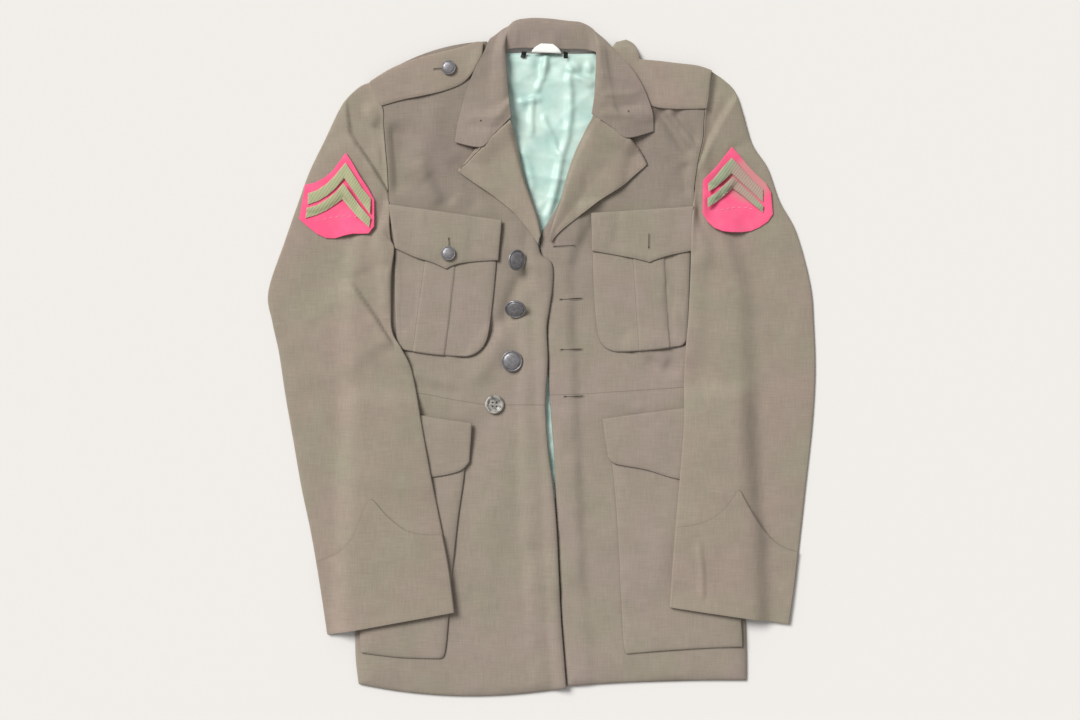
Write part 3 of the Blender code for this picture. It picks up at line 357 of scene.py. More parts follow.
COLLAR = rows(
    Section,
    (-45.6, 277.8, -36, 286.8, -72, 251.6, -103.2, 257.9),
    (-49.2, 299.4, -38.4, 305.4, -64.8, 281.4, -99, 283.8),
    (-50.4, 323.4, -40.2, 328.2, -64.8, 313.8, -90.6, 315),
    (-51.6, 347.4, -42, 354.6, -61.8, 345, -81, 341.4),
    (-49.2, 364.2, -43.2, 373.8, -56.4, 369, -68.5, 365.5),
    (-42, 368.4, -40.8, 389.4, -51.6, 388.2, -60.6, 382.8, 0.6),
    (-31.2, 370.8, -33, 402.6, -42, 395.4, -46.8, 385, 1),
    (-13.2, 370.8, -15.6, 406.8, -16.8, 397.8, -18, 384, 1),
    (7.2, 370.2, 7.2, 406.6, 7.2, 397.8, 7.2, 384, 1),
    (30, 369.6, 31.2, 403.8, 32.4, 395.4, 33.6, 383.6, 1),
    (48, 369.6, 49.2, 401.4, 54, 392, 56.4, 382.6, 1),
    (61.2, 367.8, 63.6, 391.2, 72, 385.8, 76.8, 379, 0.6), (70.8, 362, 66, 373.8, 80.4, 371, 91.2, 364.2),
    (75.6, 345, 66.4, 352.6, 85.2, 347.4, 106.8, 348), (75, 324, 65.4, 330.6, 92.4, 319.8, 122.4, 323.4),
    (74.4, 303, 64.2, 311.4, 99.6, 289.8, 133.2, 294.6), (71.4, 281, 61.2, 290.6, 103.2, 262.4, 134.9, 271),
)
# Folds, and the steps where one layer lies over another
FRONT_FOLDS = {
    "left_front": rows(
        Fold,
        (139, 296, 181, 246, -4.6, 7), (160, 296, 191, 254, -4, 6), (150, 298, 186, 250, 2.2, 6),
        (172, 232, 176, 196, -2.4, 9), (96, 250, 120, 176, -1.6, 16), (118, 14, 150, -8, 2.2, 9),
        (130, 0, 182, -28, -1.8, 11), (190, 34, 200, -40, -2.4, 11), (157, 240, 160, 186, -1, 10),
        (70, -49, 120, -62, 1, 8), (166, -30, 178, 10, 1.2, 10),
    ),
    "right_front": rows(
        Fold,
        (-182, 276, -170, 200, -4.2, 21), (-150, 232, -121, 188, 2.6, 9), (-138, 216, -104, 190, -1.8, 10),
        (-126, 300, -158, 214, 2, 16), (-96, 240, -78, 180, -1.8, 14), (-16, 104, -48, 40, -3.8, 10),
        (-56, 44, -100, 0, -2.8, 10), (-40, 24, -84, -26, 2.4, 12), (-168, 30, -186, -60, -3, 13),
        (-52, -120, -66, -230, 0.8, 24), (-100, -140, -84, -240, -0.9, 22),
        (-40, -66, -104, -100, -1.2, 14), (-165, -14, -110, -34, 1, 7), (-160, -28, -100, -46, -1, 7),
    ),
}
POCKET_FOLDS = rows(
    Fold,
    (152.5, 88, 156.5, 26, -1.5, 5), (-158, 120, -166, 30, -1.6, 12), (150, 150, 158, 60, -1.2, 9),
    (150, -210, 130, -300, 0.8, 14), (-150, -220, -140, -300, 0.8, 14),
)
LINING_FOLDS = rows(
    Fold,
    (6, 366, 3, 336, 1.2, 3), (3, 336, -6, 320, 1, 3), (-10, 312, -12, 268, 1.2, 3),
    (-27, 307, 0, 310, 1, 3), (33, 348, 36, 316, 1.2, 4), (36, 316, 32, 272, 1.2, 4),
    (32, 272, 24, 234, 1.2, 4), (24, 234, 8, 168, 1.2, 4), (2, 290, 14, 264, 1, 3),
    (14, 264, 22, 242, 1, 3), (34, 346, 62, 326, 1.2, 4), (-40, 340, -20, 300, 0.8, 6),
    (-20, 250, -10, 200, 0.8, 5), (29, 344, 68, 338, -1, 4),
)
COLLAR_FOLDS = rows(
    Fold,
    (-88, 286, -44, 290, 1.2, 4), (-86, 276, -46, 276, -1, 4), (70, 312, 118, 318, 1.3, 4),
    (72, 300, 122, 302, -1.1, 4), (66, 292, 108, 288, 1.2, 4), (70, 338, 104, 334, 0.9, 5),
)
STAND_FOLDS = rows(
    Fold,
    (-27, 395, -32, 376, 0.8, 4), (52, 400, 60, 378, -0.8, 4),
)
SLEEVE_FOLDS = {
    "right": rows(
        Fold,
        (-204, 300, -194, 282, 3.6, 11), (-194, 262, -192, 222, 3.2, 11), (-181, 104, -177, 40, 6.5, 17),
        (-222, 261, -203, 256, -2.6, 4), (-300, 8, -240, -50, -1, 12), (-270, 30, -222, -20, 1, 14),
    ),
    "left": rows(
        Fold,
        (254, 258, 225, 248, -1.8, 6), (214, 318, 204, 276, 4, 10), (197, 262, 190, 226, 2.6, 8),
        (206, 268, 197, 263, -2, 3.5), (318, 60, 300, -10, 0.8, 14), (186, -10, 196, -60, -1.2, 8),
    ),
}
SLEEVE_STEPS = {
    "right": rows(
        Fold,
        (-179, 196, -203, 234, 5.6, 4.6), (-203, 234, -227, 270, 5.6, 4.6), (-227, 270, -232, 312, 4, 4.6),
        (-217, 299, -207, 280, 3, 3), (-207, 280, -186, 270, 3.2, 3), (-176, 20, -197, 52, 7.2, 6),
        (-197, 52, -224, 92, 6.6, 6),
    ),
    "left": rows(
        Fold,
        (234, 319, 214, 287, 6, 4.4), (214, 287, 199, 259, 6, 4.4), (199, 259, 188, 234, 5, 4.4),
    ),
}
CUFF_FOLDS = rows(
    Fold,
    (188, -222, 194, -286, 1.2, 4), (200, -230, 203, -292, -0.8, 4),
)
# The two creases of each box pleat, from under the flap down to the pocket's foot: outer one, inner one
PLEATS = {
    "right_chest_pocket": (
        ((-134, 158), (-139.2, 115.8), (-153.6, 9), (-154, 0)),
        ((-99, 158), (-103.2, 108.6), (-110.4, 42.6), (-115.2, 7.8), (-116, -2)),
    ),
    "left_chest_pocket": (
        ((108, 160), (110.4, 118.2), (114, 63), (117.6, 9), (118, 0)),
        ((145, 160), (147.6, 119.4), (150, 77.4), (154.2, 15), (155, 5)),
    ),
}
# The waist seam of each front, through these points
SEAMS = {
    "right_front": ((-217, -41), (-146, -43), (-104, -51), (-66, -57), (8, -57)),
    "left_front": ((10, -45), (52, -44), (110, -40), (170, -36), (234, -33)),
}
# The seam between each lapel and the collar
GORGES = {
    "right_lapel": ((-72, 251.6), (-36, 286.8)),
    "left_lapel": ((61.2, 290.6), (103.2, 262.4)),
}
# Where the row of tacking stitches on each badge starts and ends
TACKS = {"right": ((-263, 165), (-218, 168)), "left": ((214, 176), (256, 178))}
HOLES = rows(
    Hole,
    ("front_hole_1", 27.6, 133.6, 27, 3), ("front_hole_2", 36, 70.2, 29, 3),
    ("front_hole_3", 36.4, 9.6, 28, 1), ("front_hole_4", 39.2, -46.7, 25, 1),
    ("right_flap_hole", -109.6, 134.5, 19, -86), ("left_flap_hole", 129.2, 139.2, 19, 89),
    ("strap_hole", -121, 346.2, 17, 4),
)
EYELETS = {"right_eyelet": (-72, 283.2), "left_eyelet": (104.4, 294.6)}
# Each metal button's radius, and its tilt in degrees as its shank lets it lie
METAL_BUTTONS = {
    "front_button_1": (12.7, (6, 38)), "front_button_2": (12.7, (38, -5)), "front_button_3": (12.7, (4, 3)),
    "pocket_button": (8.6, (0, 0)), "strap_button": (8.6, (0, 0)),
}
# A metal button's outline, (out, up) in shares of its radius: dome, rolled rim, flat back and shank
DOME = (
    (0, 0.38), (0.3, 0.37), (0.55, 0.335), (0.74, 0.27), (0.82, 0.19), (0.86, 0.215), (0.92, 0.26),
    (0.975, 0.23), (1, 0.155), (0.965, 0.075), (0.8, 0.03), (0.5, 0.01), (0.23, 0), (0.19, -0.06),
    (0.17, -0.15), (0, -0.16),
)
# The flat button's outline, (radius, height) in mm: dished middle, raised rim and flat back
PLAIN_DISC = (
    (0.001, 1.5), (4.6, 1.6), (6.6, 1.9), (8, 3), (9.2, 3.6), (10.5, 3.4), (11.3, 2.6), (11.5, 1.7),
    (11.2, 0.8), (10, 0.2), (5, 0), (0.001, 0),
)


# Helpers for the forms

def through(values, places):
    """A smooth curve through the rows of values, cubic between neighbours, read at places counted in rows."""
    values = np.asarray(values, float)
    last = len(values) - 1
    place = np.clip(places, 0, last)
    start = np.minimum(place.astype(int), last - 1)
    part = (place - start)[:, None]
    before = values[np.maximum(start - 1, 0)]
    here = values[start]
    there = values[start + 1]
    after = values[np.minimum(start + 2, last)]
    slope_in = 0.5 * (there - before)
    slope_out = 0.5 * (after - here)
    square = part * part
    cube = square * part
    return ((2 * cube - 3 * square + 1) * here + (cube - 2 * square + part) * slope_in
            + (3 * square - 2 * cube) * there + (cube - square) * slope_out)


def run_along(table):
    """The distance travelled down a table of lines, as the mean of the runs of both ends."""
    places = np.asarray([tuple(row)[:4] for row in table], float)
    starts = np.hypot(*np.diff(places[:, 0:2], axis=0).T)
    ends = np.hypot(*np.diff(places[:, 2:4], axis=0).T)
    return np.concatenate([[0], np.cumsum((starts + ends) / 2)])


def spaced(length, step):
    """Shares from 0 to 1, a step apart, with extra ones close to both ends so that an edge can be rounded."""
    inner = np.linspace(0, 1, max(3, int(round(length / step)) + 1))
    edge = np.array(LIP_PLACES) / length
    return np.unique(np.round(np.concatenate([inner, edge, 1 - edge]), 5))


def across_line(ax, ay, bx, by, bow, share):
    """The places at a share of the way across lines, and the lines' lengths.

    A place is the start plus its share of the way, plus the bow times 4 share (1 - share) at right angles.
    """
    length = np.hypot(bx - ax, by - ay)
    swell = bow * 4 * share * (1 - share)
    x = ax + (bx - ax) * share - (by - ay) / length * swell
    y = ay + (by - ay) * share + (bx - ax) / length * swell
    return x, y, length


def plan(table, step=STEP, corners=False):
    """The grid of a piece, (x, y), and its distances across and along, each from both edges, in mm.

    Rows are joined by a smooth curve, or by straight lines where the piece has corners.
    """
    run = run_along(table)
    marks = np.asarray(table, float)
    widest = np.hypot(marks[:, 2] - marks[:, 0], marks[:, 3] - marks[:, 1]).max()
    down = spaced(run[-1], step)
    share = spaced(widest, step)[None, :]
    if corners:
        turns = run / run[-1]
        clear = np.abs(down[:, None] - turns[None, :]).min(axis=1) * run[-1] > 0.3
        down = np.sort(np.concatenate([down[clear], turns]))
    order = np.arange(len(table))
    places = np.interp(down * run[-1], run, order)
    if corners:
        lines = np.stack([np.interp(places, order, column) for column in marks.T], axis=1)
    else:
        lines = through(marks, places)
    x, y, length = across_line(*(lines[:, k:k + 1] for k in range(5)), share)
    across = share * length
    along = (down * run[-1])[:, None] * np.ones_like(x)
    return Plan(x, y, along, run[-1] - along, across, length - across)


def nearest_edge(grid):
    """The distance to the nearest edge of the piece, in mm."""
    ends = np.minimum(grid.from_start, grid.from_end)
    sides = np.minimum(grid.from_side_a, grid.from_side_b)
    return np.minimum(ends, sides)


def ease(value):
    """0 below 0, 1 above 1, and a smooth s between them: 3 t squared minus 2 t cubed."""
    t = np.clip(value, 0, 1)
    return t * t * (3 - 2 * t)


def swelling(edge, height, reach):
    """A height that is full within a piece and falls to nothing at its edge, as a quarter of a circle."""
    return height * np.sqrt(1 - (1 - np.clip(edge / reach, 0, 1)) ** 2)


def beside_fold(fold, x, y):
    """How far along a fold each place is, as a share of its length, and how far to its left, in mm."""
    dx = fold.bx - fold.ax
    dy = fold.by - fold.ay
    length = math.hypot(dx, dy)
    run = ((x - fold.ax) * dx + (y - fold.ay) * dy) / length ** 2
    aside = ((y - fold.ay) * dx - (x - fold.ax) * dy) / length
    return run, aside


def run_out(run, beyond, rate):
    """1 along a fold, and down to 0 a little beyond both of its ends."""
    return ease((run + beyond) * rate) * ease((1 + beyond - run) * rate)


def fold_height(x, y, folds):
    """Soft ridges and troughs: a bell across each fold, fading at both of its ends, added together."""
    total = np.zeros_like(x)
    for fold in folds:
        run, aside = beside_fold(fold, x, y)
        bend = fold.width * 0.25 * np.sin(run * 5 + fold.ax)
        total += fold.height * run_out(run, 0.12, 4) * np.exp(-((bend - aside) / fold.width) ** 2)
    return total


def step_height(x, y, steps):
    """A layer that lies over another along a crease: its left side stands up, its right dips down to it."""
    total = np.zeros_like(x)
    for fold in steps:
        run, aside = beside_fold(fold, x, y)
        over = ease(aside / fold.width) * np.exp(-np.maximum(aside, 0) / (fold.width * 6))
        dip = (1 - ease(aside / fold.width)) * np.exp(-(np.minimum(aside, 0) / (fold.width * 4.2)) ** 2)
        total += fold.height * run_out(run, 0.25, 2) * (over - 1.1 * dip)
    return total


def crumple(x, y, size, height, turn):
    """Small sharp creases as in crushed satin: folded sines, each bent by a slower one."""
    along = (x * math.cos(turn) + y * math.sin(turn)) / size
    aside = (y * math.cos(turn) - x * math.sin(turn)) / size
    one = along + 1.3 * np.sin(aside * 0.43 + turn)
    two = aside * 0.6 + 1.1 * np.sin(along * 0.5 + 2 * turn) + 0.5 * along
    return height * ((1 - np.abs(np.sin(one))) ** 2 + 0.7 * (1 - np.abs(np.sin(two))) ** 3 - 0.4)


def hand_waves(x, y, size, height, turn):
    """Slow uneven waves as cloth keeps when laid by hand: three sines with unlike lengths and directions."""
    a = np.sin((x * math.cos(turn) + y * math.sin(turn)) / size + turn)
    b = np.sin((x * math.cos(turn + 1.9) + y * math.sin(turn + 1.9)) / (size * 0.61) + 2.2 * turn)
    c = np.sin((x * math.cos(turn + 3.7) + y * math.sin(turn + 3.7)) / (size * 0.37) + 4.1)
    return height * (0.5 * a + 0.3 * b + 0.2 * c)


class Pile:
    """The height, on a fine raster, of all that is laid so far."""

    CELL = 1.0
    LEFT = -380.0
    FRONT = -450.0
    SIZE = (760, 900)

    def __init__(self):
        self.top = np.zeros(self.SIZE)

    def rest(self, x, y, reach, soft=3.0):
        """The height that clears the pile within reach, averaged over a soft distance as cloth does."""
        spread = int(math.ceil(reach / self.CELL)) + 1
        half = int(math.ceil(soft / self.CELL))
        cover = self.top
        for axis in (0, 1):
            wide = cover.copy()
            for step in range(1, spread + 2 * half + 1):
                wide = np.maximum(wide, np.maximum(np.roll(cover, step, axis), np.roll(cover, -step, axis)))
            cover = wide
        window = 2 * half + 1
        for axis in (0, 1, 0, 1):
            total = np.cumsum(np.concatenate([cover, cover], axis), axis)
            span = cover.shape[axis]
            late = np.take(total, np.arange(window, window + span), axis)
            early = np.take(total, np.arange(0, span), axis)
            cover = np.roll((late - early) / window, half + 1, axis)
        return self.read(x, y, cover)

    def blend(self, x, y, soft):
        """The pile's own height averaged over a soft distance, for a piece sewn to its neighbour's edge."""
        reach = int(math.ceil(soft / self.CELL))
        cover = self.top
        for axis in (0, 1, 0, 1):
            cover = sum(np.roll(cover, step, axis) for step in range(-reach, reach + 1)) / (2 * reach + 1)
        return self.read(x, y, cover)

    def read(self, x, y, cover=None):
        """A raster, the pile's top or another, read between its cells by straight interpolation."""
        cover = self.top if cover is None else cover
        across = (x - self.LEFT) / self.CELL - 0.5
        along = (y - self.FRONT) / self.CELL - 0.5
        column = np.clip(across.astype(int), 0, cover.shape[0] - 2)
        row = np.clip(along.astype(int), 0, cover.shape[1] - 2)
        right = across - column
        back = along - row
        near = cover[column, row] * (1 - right) + cover[column + 1, row] * right
        far = cover[column, row + 1] * (1 - right) + cover[column + 1, row + 1] * right
        return near * (1 - back) + far * back

    def add(self, part):
        """Spreads an object's surface over the raster."""
        corners = triangles_of(part) / MM
        sides = np.maximum(np.abs(corners[:, 1] - corners[:, 0])[:, :2].max(axis=1),
                           np.abs(corners[:, 2] - corners[:, 0])[:, :2].max(axis=1))
        for low, high in ((0, 2.4), (2.4, 8), (8, 400)):
            some = corners[(sides >= low) & (sides < high)]
            if not len(some):
                continue
            steps = int(math.ceil(min(high, sides.max()) / self.CELL * 1.1))
            for i in range(steps + 1):
                for j in range(steps + 1 - i):
                    self.raise_to(some[:, 0] * (1 - i / steps - j / steps) + some[:, 1] * (i / steps)
                                  + some[:, 2] * (j / steps))

    def raise_to(self, points):
        """Raises the cells under some points to the points' height."""
        column = np.clip(((points[:, 0] - self.LEFT) / self.CELL).astype(int), 0, self.SIZE[0] - 1)
        row = np.clip(((points[:, 1] - self.FRONT) / self.CELL).astype(int), 0, self.SIZE[1] - 1)
        np.maximum.at(self.top, (column, row), points[:, 2])


def places_of(mesh):
    """The places of a mesh's vertices, in metres."""
    points = np.empty(len(mesh.vertices) * 3, np.float32)
    mesh.vertices.foreach_get("co", points)
    return points.reshape(-1, 3).astype(float)


def triangles_of(part):
    """The corners of an object's evaluated triangles, in metres."""
    graph = bpy.context.evaluated_depsgraph_get()
    graph.update()
    seen = part.evaluated_get(graph)
    mesh = seen.to_mesh()
    mesh.calc_loop_triangles()
    points = places_of(mesh)
    corners = np.empty(len(mesh.loop_triangles) * 3, np.int32)
    mesh.loop_triangles.foreach_get("vertices", corners)
    seen.to_mesh_clear()
    return points[corners.reshape(-1, 3)]


def grid_faces(rows, columns, closed):
    """Four-sided faces of a grid of rows x columns points, joined round when closed."""
    row = np.arange(rows - 1)[:, None]
    column = np.arange(columns if closed else columns - 1)[None, :]
    first = row * columns + column
    second = row * columns + (column + 1) % columns
    return np.stack([first, second, second + columns, first + columns], axis=-1).reshape(-1, 4)


def faces_inward(points, faces, closed):
    """True where a sheet's faces look down, or a tube's look into it."""
    corners = points[faces]
    normals = np.cross(corners[:, 2] - corners[:, 0], corners[:, 3] - corners[:, 1])
    if not closed:
        return normals[:, 2].sum() < 0
    middles = corners.mean(axis=1) - points.mean(axis=0)
    return (normals * middles).sum() < 0


def into_scene(name, data):
    """Puts a mesh, a lamp or a camera into the scene as an object."""
    thing = bpy.data.objects.new(name, data)
    bpy.context.scene.collection.objects.link(thing)
    return thing


def surface(name, points, material, closed=False, maps=None):
    """A mesh object from a grid of points in millimetres, with named UV maps given per point."""
    rows, columns = points.shape[:2]
    faces = grid_faces(rows, columns, closed)
    if faces_inward(points.reshape(-1, 3), faces, closed):
        faces = faces[:, ::-1]
    order = faces.reshape(-1)
    mesh = bpy.data.meshes.new(name)
    mesh.vertices.add(rows * columns)
    mesh.vertices.foreach_set("co", (points.reshape(-1) * MM).astype(np.float32))
    mesh.loops.add(faces.size)
    mesh.loops.foreach_set("vertex_index", order.astype(np.int32))
    mesh.polygons.add(len(faces))
    mesh.polygons.foreach_set("loop_start", np.arange(0, faces.size, 4, dtype=np.int32))
    mesh.update(calc_edges=True)
    mesh.materials.append(material)
    mesh.shade_smooth()
    for key, values in (maps or {}).items():
        layer = mesh.uv_layers.new(name=key)
        layer.data.foreach_set("uv", values.reshape(-1, 2)[order].reshape(-1).astype(np.float32))
    return into_scene(name, mesh)


def hold(part, node=None):
    """Rides a piece on the root, in place of its solid where it has one."""
    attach(part, "root")
    if node:
        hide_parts(node)


def declare(part, points, node, closed):
    """Holds one cloth piece on the root, in place of its solid.

    The two loop ends are smaller than a sheet may be, so their sides are the least ones, not their own.
    """
    if closed:
        points = np.concatenate([points, points[:, :1]], axis=1)
    hold(part, node)


def seam_map(x, y, line, reach=NO_SEAM):
    """Along and signed distance, in mm, from a line of sewing: the nearest straight stretch counts."""
    best = np.full(x.shape, np.inf)
    signed = np.full(x.shape, reach)
    along = np.zeros_like(x)
    travelled = 0.0
    for (ax, ay), (bx, by) in zip(line[:-1], line[1:]):
        length = math.hypot(bx - ax, by - ay)
        tx = (bx - ax) / length
        ty = (by - ay) / length
        run = np.clip((x - ax) * tx + (y - ay) * ty, 0, length)
        off = np.hypot(x - ax - run * tx, y - ay - run * ty)
        side = (x - ax) * ty - (y - ay) * tx
        closer = off < best
        signed = np.where(closer, np.sign(side) * np.minimum(off, reach), signed)
        along = np.where(closer, travelled + run, along)
        best = np.where(closer, off, best)
        travelled += length
    return np.stack([along, signed], axis=-1)


def nearer_seam(one, two):
    """Of two seam maps, at each point the one that is nearer."""
    return np.where(np.abs(one[..., 1:]) < np.abs(two[..., 1:]), one, two)


def rim_shade_map(grid):
    """A seam map of a piece's own rim, for a line of painted shade along it: the nearest edge counts."""
    return np.stack([grid.from_start + grid.from_side_a, nearest_edge(grid)], axis=-1)


def cloth_maps(points, edge, seam):
    """The UV maps of cloth: its flat place in metres, and its edge and seam distances in mm."""
    x, y = points[..., 0], points[..., 1]
    along = x + y
    edge = np.full_like(x, NO_STITCH) if edge is None else edge
    seam = np.stack([along, np.full_like(x, NO_SEAM)], axis=-1) if seam is None else seam
    return {"flat": np.stack([x, y], axis=-1) * MM, "edge": np.stack([along, edge], axis=-1), "seam": seam}


def cloth(name, points, wall, material, node, edge=None, seam=None,
          closed=False, offset=1.0):
    """Makes one cloth piece with its wall, holds it in place of its solid and adds it to the pile."""
    part = surface(name, points, material, closed, cloth_maps(points, edge, seam))
    thick = part.modifiers.new("Wall", "SOLIDIFY")
    thick.thickness = wall * MM
    thick.offset = offset
    bpy.context.view_layer.update()
    declare(part, points, node, closed)
    PILE.add(part)
    return part


def lay(name, grid, wall, material, node, rests_on, lift=0.0, slot="wool_cloth", folds=(), steps=(),
        seam=None, lip=0.7, soft=3.0, reach=STEP + 1.5, waves=0.0):
    """Lays a sheet on the pile: what lies under it, plus its own lift, folds and rounded lip."""
    x, y = grid.x, grid.y
    edge = nearest_edge(grid)
    bare = PILE.rest(x, y, reach, soft)
    form = lift + FOLD_GAIN * fold_height(x, y, folds) + step_height(x, y, steps)
    if waves:
        form = form + hand_waves(x, y, WAVE_SIZE, waves, len(name) * 0.7)
    inside = ease(edge / FLAT_RIM)
    form = form * inside + lift * (1 - inside)
    z = bare + SEAM_GAP + np.maximum(form, 0) + lip * (ease(edge / LIP_WIDTH) - 1) * 0.5 + lip * 0.5
    line = seam_map(x, y, seam) if isinstance(seam, tuple) else seam
    return cloth(name, np.stack([x, y, z], axis=-1), wall, material, node, edge, line)


def lay_on_front(name, grid, wall, material, lift, **how):
    """Lays a wool piece on the front of its own side."""
    front = "cloth_" + name.split("_")[0] + "_front"
    return lay("cloth_" + name, grid, wall, material, name, [front], lift, **how)


# Materials: each starts from the real cloth or metal

def linear(code):
    """An sRGB hex colour as linear numbers."""
    parts = [int(code[i:i + 2], 16) / 255 for i in (1, 3, 5)]
    return tuple(c / 12.92 if c <= 0.04045 else ((c + 0.055) / 1.055) ** 2.4 for c in parts) + (1.0,)


def add(tree, kind, links=(), **settings):
    """Adds a node: settings are its properties or input values, links are (socket, node, output)."""
    node = tree.nodes.new(kind)
    for key, value in settings.items():
        if hasattr(node, key):
            setattr(node, key, value)
        else:
            node.inputs[key.replace("_", " ")].default_value = value
    for socket, source, output in links:
        tree.links.new(source.outputs[output], node.inputs[socket])
    return node


def fresh(name, roughness, metallic=0.0, sheen=0.0, specular=0.5):
    """A material with its Principled shader, and the values that are the same all over set on the shader."""
    made = bpy.data.materials.new(name)
    made.use_nodes = True
    tree = made.node_tree
    shader = tree.nodes["Principled BSDF"]
    shader.inputs["Roughness"].default_value = roughness
    shader.inputs["Metallic"].default_value = metallic
    shader.inputs["Sheen Weight"].default_value = sheen
    shader.inputs["Sheen Roughness"].default_value = 0.6
    shader.inputs["Specular IOR Level"].default_value = specular
    return made, tree, shader


def noise(tree, place, output, scale, detail, **more):
    """Cloudy noise read at a place."""
    return add(tree, "ShaderNodeTexNoise", [("Vector", place, output)], Scale=scale, Detail=detail, **more)


def span(tree, source, output, low, high, start=0.0, end=1.0, smooth=False):
    """A value carried from low..high over to start..end, in a straight line or in a smooth s."""
    return add(tree, "ShaderNodeMapRange", [("Value", source, output)], From_Min=low, From_Max=high,
               To_Min=start, To_Max=end, interpolation_type="SMOOTHSTEP" if smooth else "LINEAR")


def product(tree, one, two):
    """Two values multiplied."""
    return add(tree, "ShaderNodeMath", [(0, one, 0), (1, two, 0)], operation="MULTIPLY")


def mixed(tree, share, low, high):
    """A colour between low and high by a share; each of the two is a hex code or another such mix."""
    mix = add(tree, "ShaderNodeMix", data_type="RGBA")
    if isinstance(share, float):
        mix.inputs[0].default_value = share
    else:
        tree.links.new(share.outputs[0], mix.inputs[0])
    for socket, colour in ((6, low), (7, high)):
        if isinstance(colour, str):
            mix.inputs[socket].default_value = linear(colour)
        else:
            tree.links.new(colour.outputs[2], mix.inputs[socket])
    return mix


def dye(tree, shader, colour):
    """Gives the shader a colour: a hex code or a mix."""
    if isinstance(colour, str):
        shader.inputs["Base Color"].default_value = linear(colour)
    else:
        tree.links.new(colour.outputs[2], shader.inputs["Base Color"])


def emboss(tree, shader, height, output, strength, distance):
    """Gives the shader a bump from a height."""
    bump = add(tree, "ShaderNodeBump", [("Height", height, output)], Strength=strength, Distance=distance)
    tree.links.new(bump.outputs[0], shader.inputs["Normal"])


def sewing_distance(tree, layer):
    """The distance in mm that a UV map holds in its second number."""
    where = add(tree, "ShaderNodeUVMap", uv_map=layer)
    return add(tree, "ShaderNodeSeparateXYZ", [("Vector", where, 0)])


def threads(tree, place, along, thick):
    """Uneven threads one way and the other: noise drawn out along x and along y, added; sizes in mm."""
    fine = 1 / (thick * MM)
    slow = 1 / (along * MM)
    drawn = []
    for scale in ((slow, fine, 1.0), (fine, slow, 1.0)):
        stretch = add(tree, "ShaderNodeMapping", [("Vector", place, 0)], Scale=scale)
        drawn.append(noise(tree, stretch, 0, 1.0, 2.0))
    return add(tree, "ShaderNodeMath", [(0, drawn[0], "Fac"), (1, drawn[1], "Fac")], operation="ADD")


def wool_cloth(name, main, cool, warm, chest=1.0):
    """Worsted wool, piece-dyed olive drab and worn: a plain weave, pale slubs and slow shifts of shade.

    The real thread is about 0.45 mm, too fine to show at this size, so it is drawn a little over 1 mm thick.
    From the waist to the chest the colour goes over to `chest` times itself, as painted shade on the chest.
    """
    made, tree, shader = fresh(name, 0.95, sheen=0.1, specular=0.2)
    flat = add(tree, "ShaderNodeUVMap", uv_map="flat")
    weave = threads(tree, flat, 22.0, 1.15)
    slub = span(tree, threads(tree, flat, 30.0, 2.0), 0, 1.16, 1.36, 0.0, 0.09)
    mottle = noise(tree, flat, 0, 42.0, 5.0, Roughness=0.65)
    shade = noise(tree, flat, 0, 10.0, 3.0, Roughness=0.5)
    ground = mixed(tree, span(tree, shade, "Fac", 0.35, 0.65), cool, warm)
    base = mixed(tree, 0.4, ground, main)
    light = span(tree, weave, 0, 0.7, 1.3, 0.9, 1.06)
    cloud = span(tree, mottle, "Fac", 0.3, 0.7, 0.94, 1.045)
    value = product(tree, light, cloud)
    value = add(tree, "ShaderNodeMath", [(0, value, 0), (1, slub, 0)], operation="ADD")
    # Painted shade in seam grooves, pleat creases and along pieces' rims, times the darker row of stitches
    sewn = product(tree, painted_seam_shade(tree), stitch_shade(tree))
    value = product(tree, value, sewn)
    place = add(tree, "ShaderNodeSeparateXYZ", [("Vector", flat, 0)])
    # Painted shade: the colour darkens from the waist up to the chest
    value = product(tree, value, span(tree, place, "Y", 0.02, 0.2, 1.0, chest, smooth=True))
    tone = add(tree, "ShaderNodeVectorMath", [(0, base, 2), ("Scale", value, 0)], operation="SCALE")
    tree.links.new(tone.outputs[0], shader.inputs["Base Color"])
    relief = add(tree, "ShaderNodeMath", [(0, sewn, 0), (2, weave, 0)], operation="MULTIPLY_ADD")
    relief.inputs[1].default_value = 4.0
    emboss(tree, shader, relief, 0, 0.5, 0.00025)
    return made


def stitch_shade(tree):
    """1 on plain cloth and a little darker on the row of stitches just inside a piece's edge."""
    off = add(tree, "ShaderNodeMath", [(0, sewing_distance(tree, "edge"), "Y")], operation="SUBTRACT")
    off.inputs[1].default_value = STITCH_INSET
    near = add(tree, "ShaderNodeMath", [(0, off, 0)], operation="ABSOLUTE")
    return span(tree, near, 0, 0.1, 0.7, 0.95, 1.0, smooth=True)


def painted_seam_shade(tree):
    """1 on plain cloth, and darker as painted shade in a seam's groove, a pleat's crease and along a piece's
    rim.
    """
    off = add(tree, "ShaderNodeMath", [(0, sewing_distance(tree, "seam"), "Y")], operation="ABSOLUTE")
    return span(tree, off, 0, 0.1, 0.9, 0.74, 1.0, smooth=True)


def satin_lining(name, main, crease_shade):
    """Acetate satin: floats of shiny warp, so a soft sheen that runs along the folds, and clouds of a deeper
    colour as painted shade of its creases.
    """
    made, tree, shader = fresh(name, 0.42)
    shader.inputs["Anisotropic"].default_value = 0.4
    flat = add(tree, "ShaderNodeUVMap", uv_map="flat")
    stretch = add(tree, "ShaderNodeMapping", [("Vector", flat, 0)], Scale=(1500.0, 120.0, 1.0))
    # Painted shade: random clouds of the deeper colour stand in for the shadows of the lining's creases
    painted_shade_clouds = noise(tree, flat, 0, 30.0, 4.0)
    dye(tree, shader, mixed(tree, span(tree, painted_shade_clouds, "Fac", 0.35, 0.7), main, crease_shade))
    emboss(tree, shader, noise(tree, stretch, 0, 1.0, 2.0), "Fac", 0.25, 0.0001)
    return made


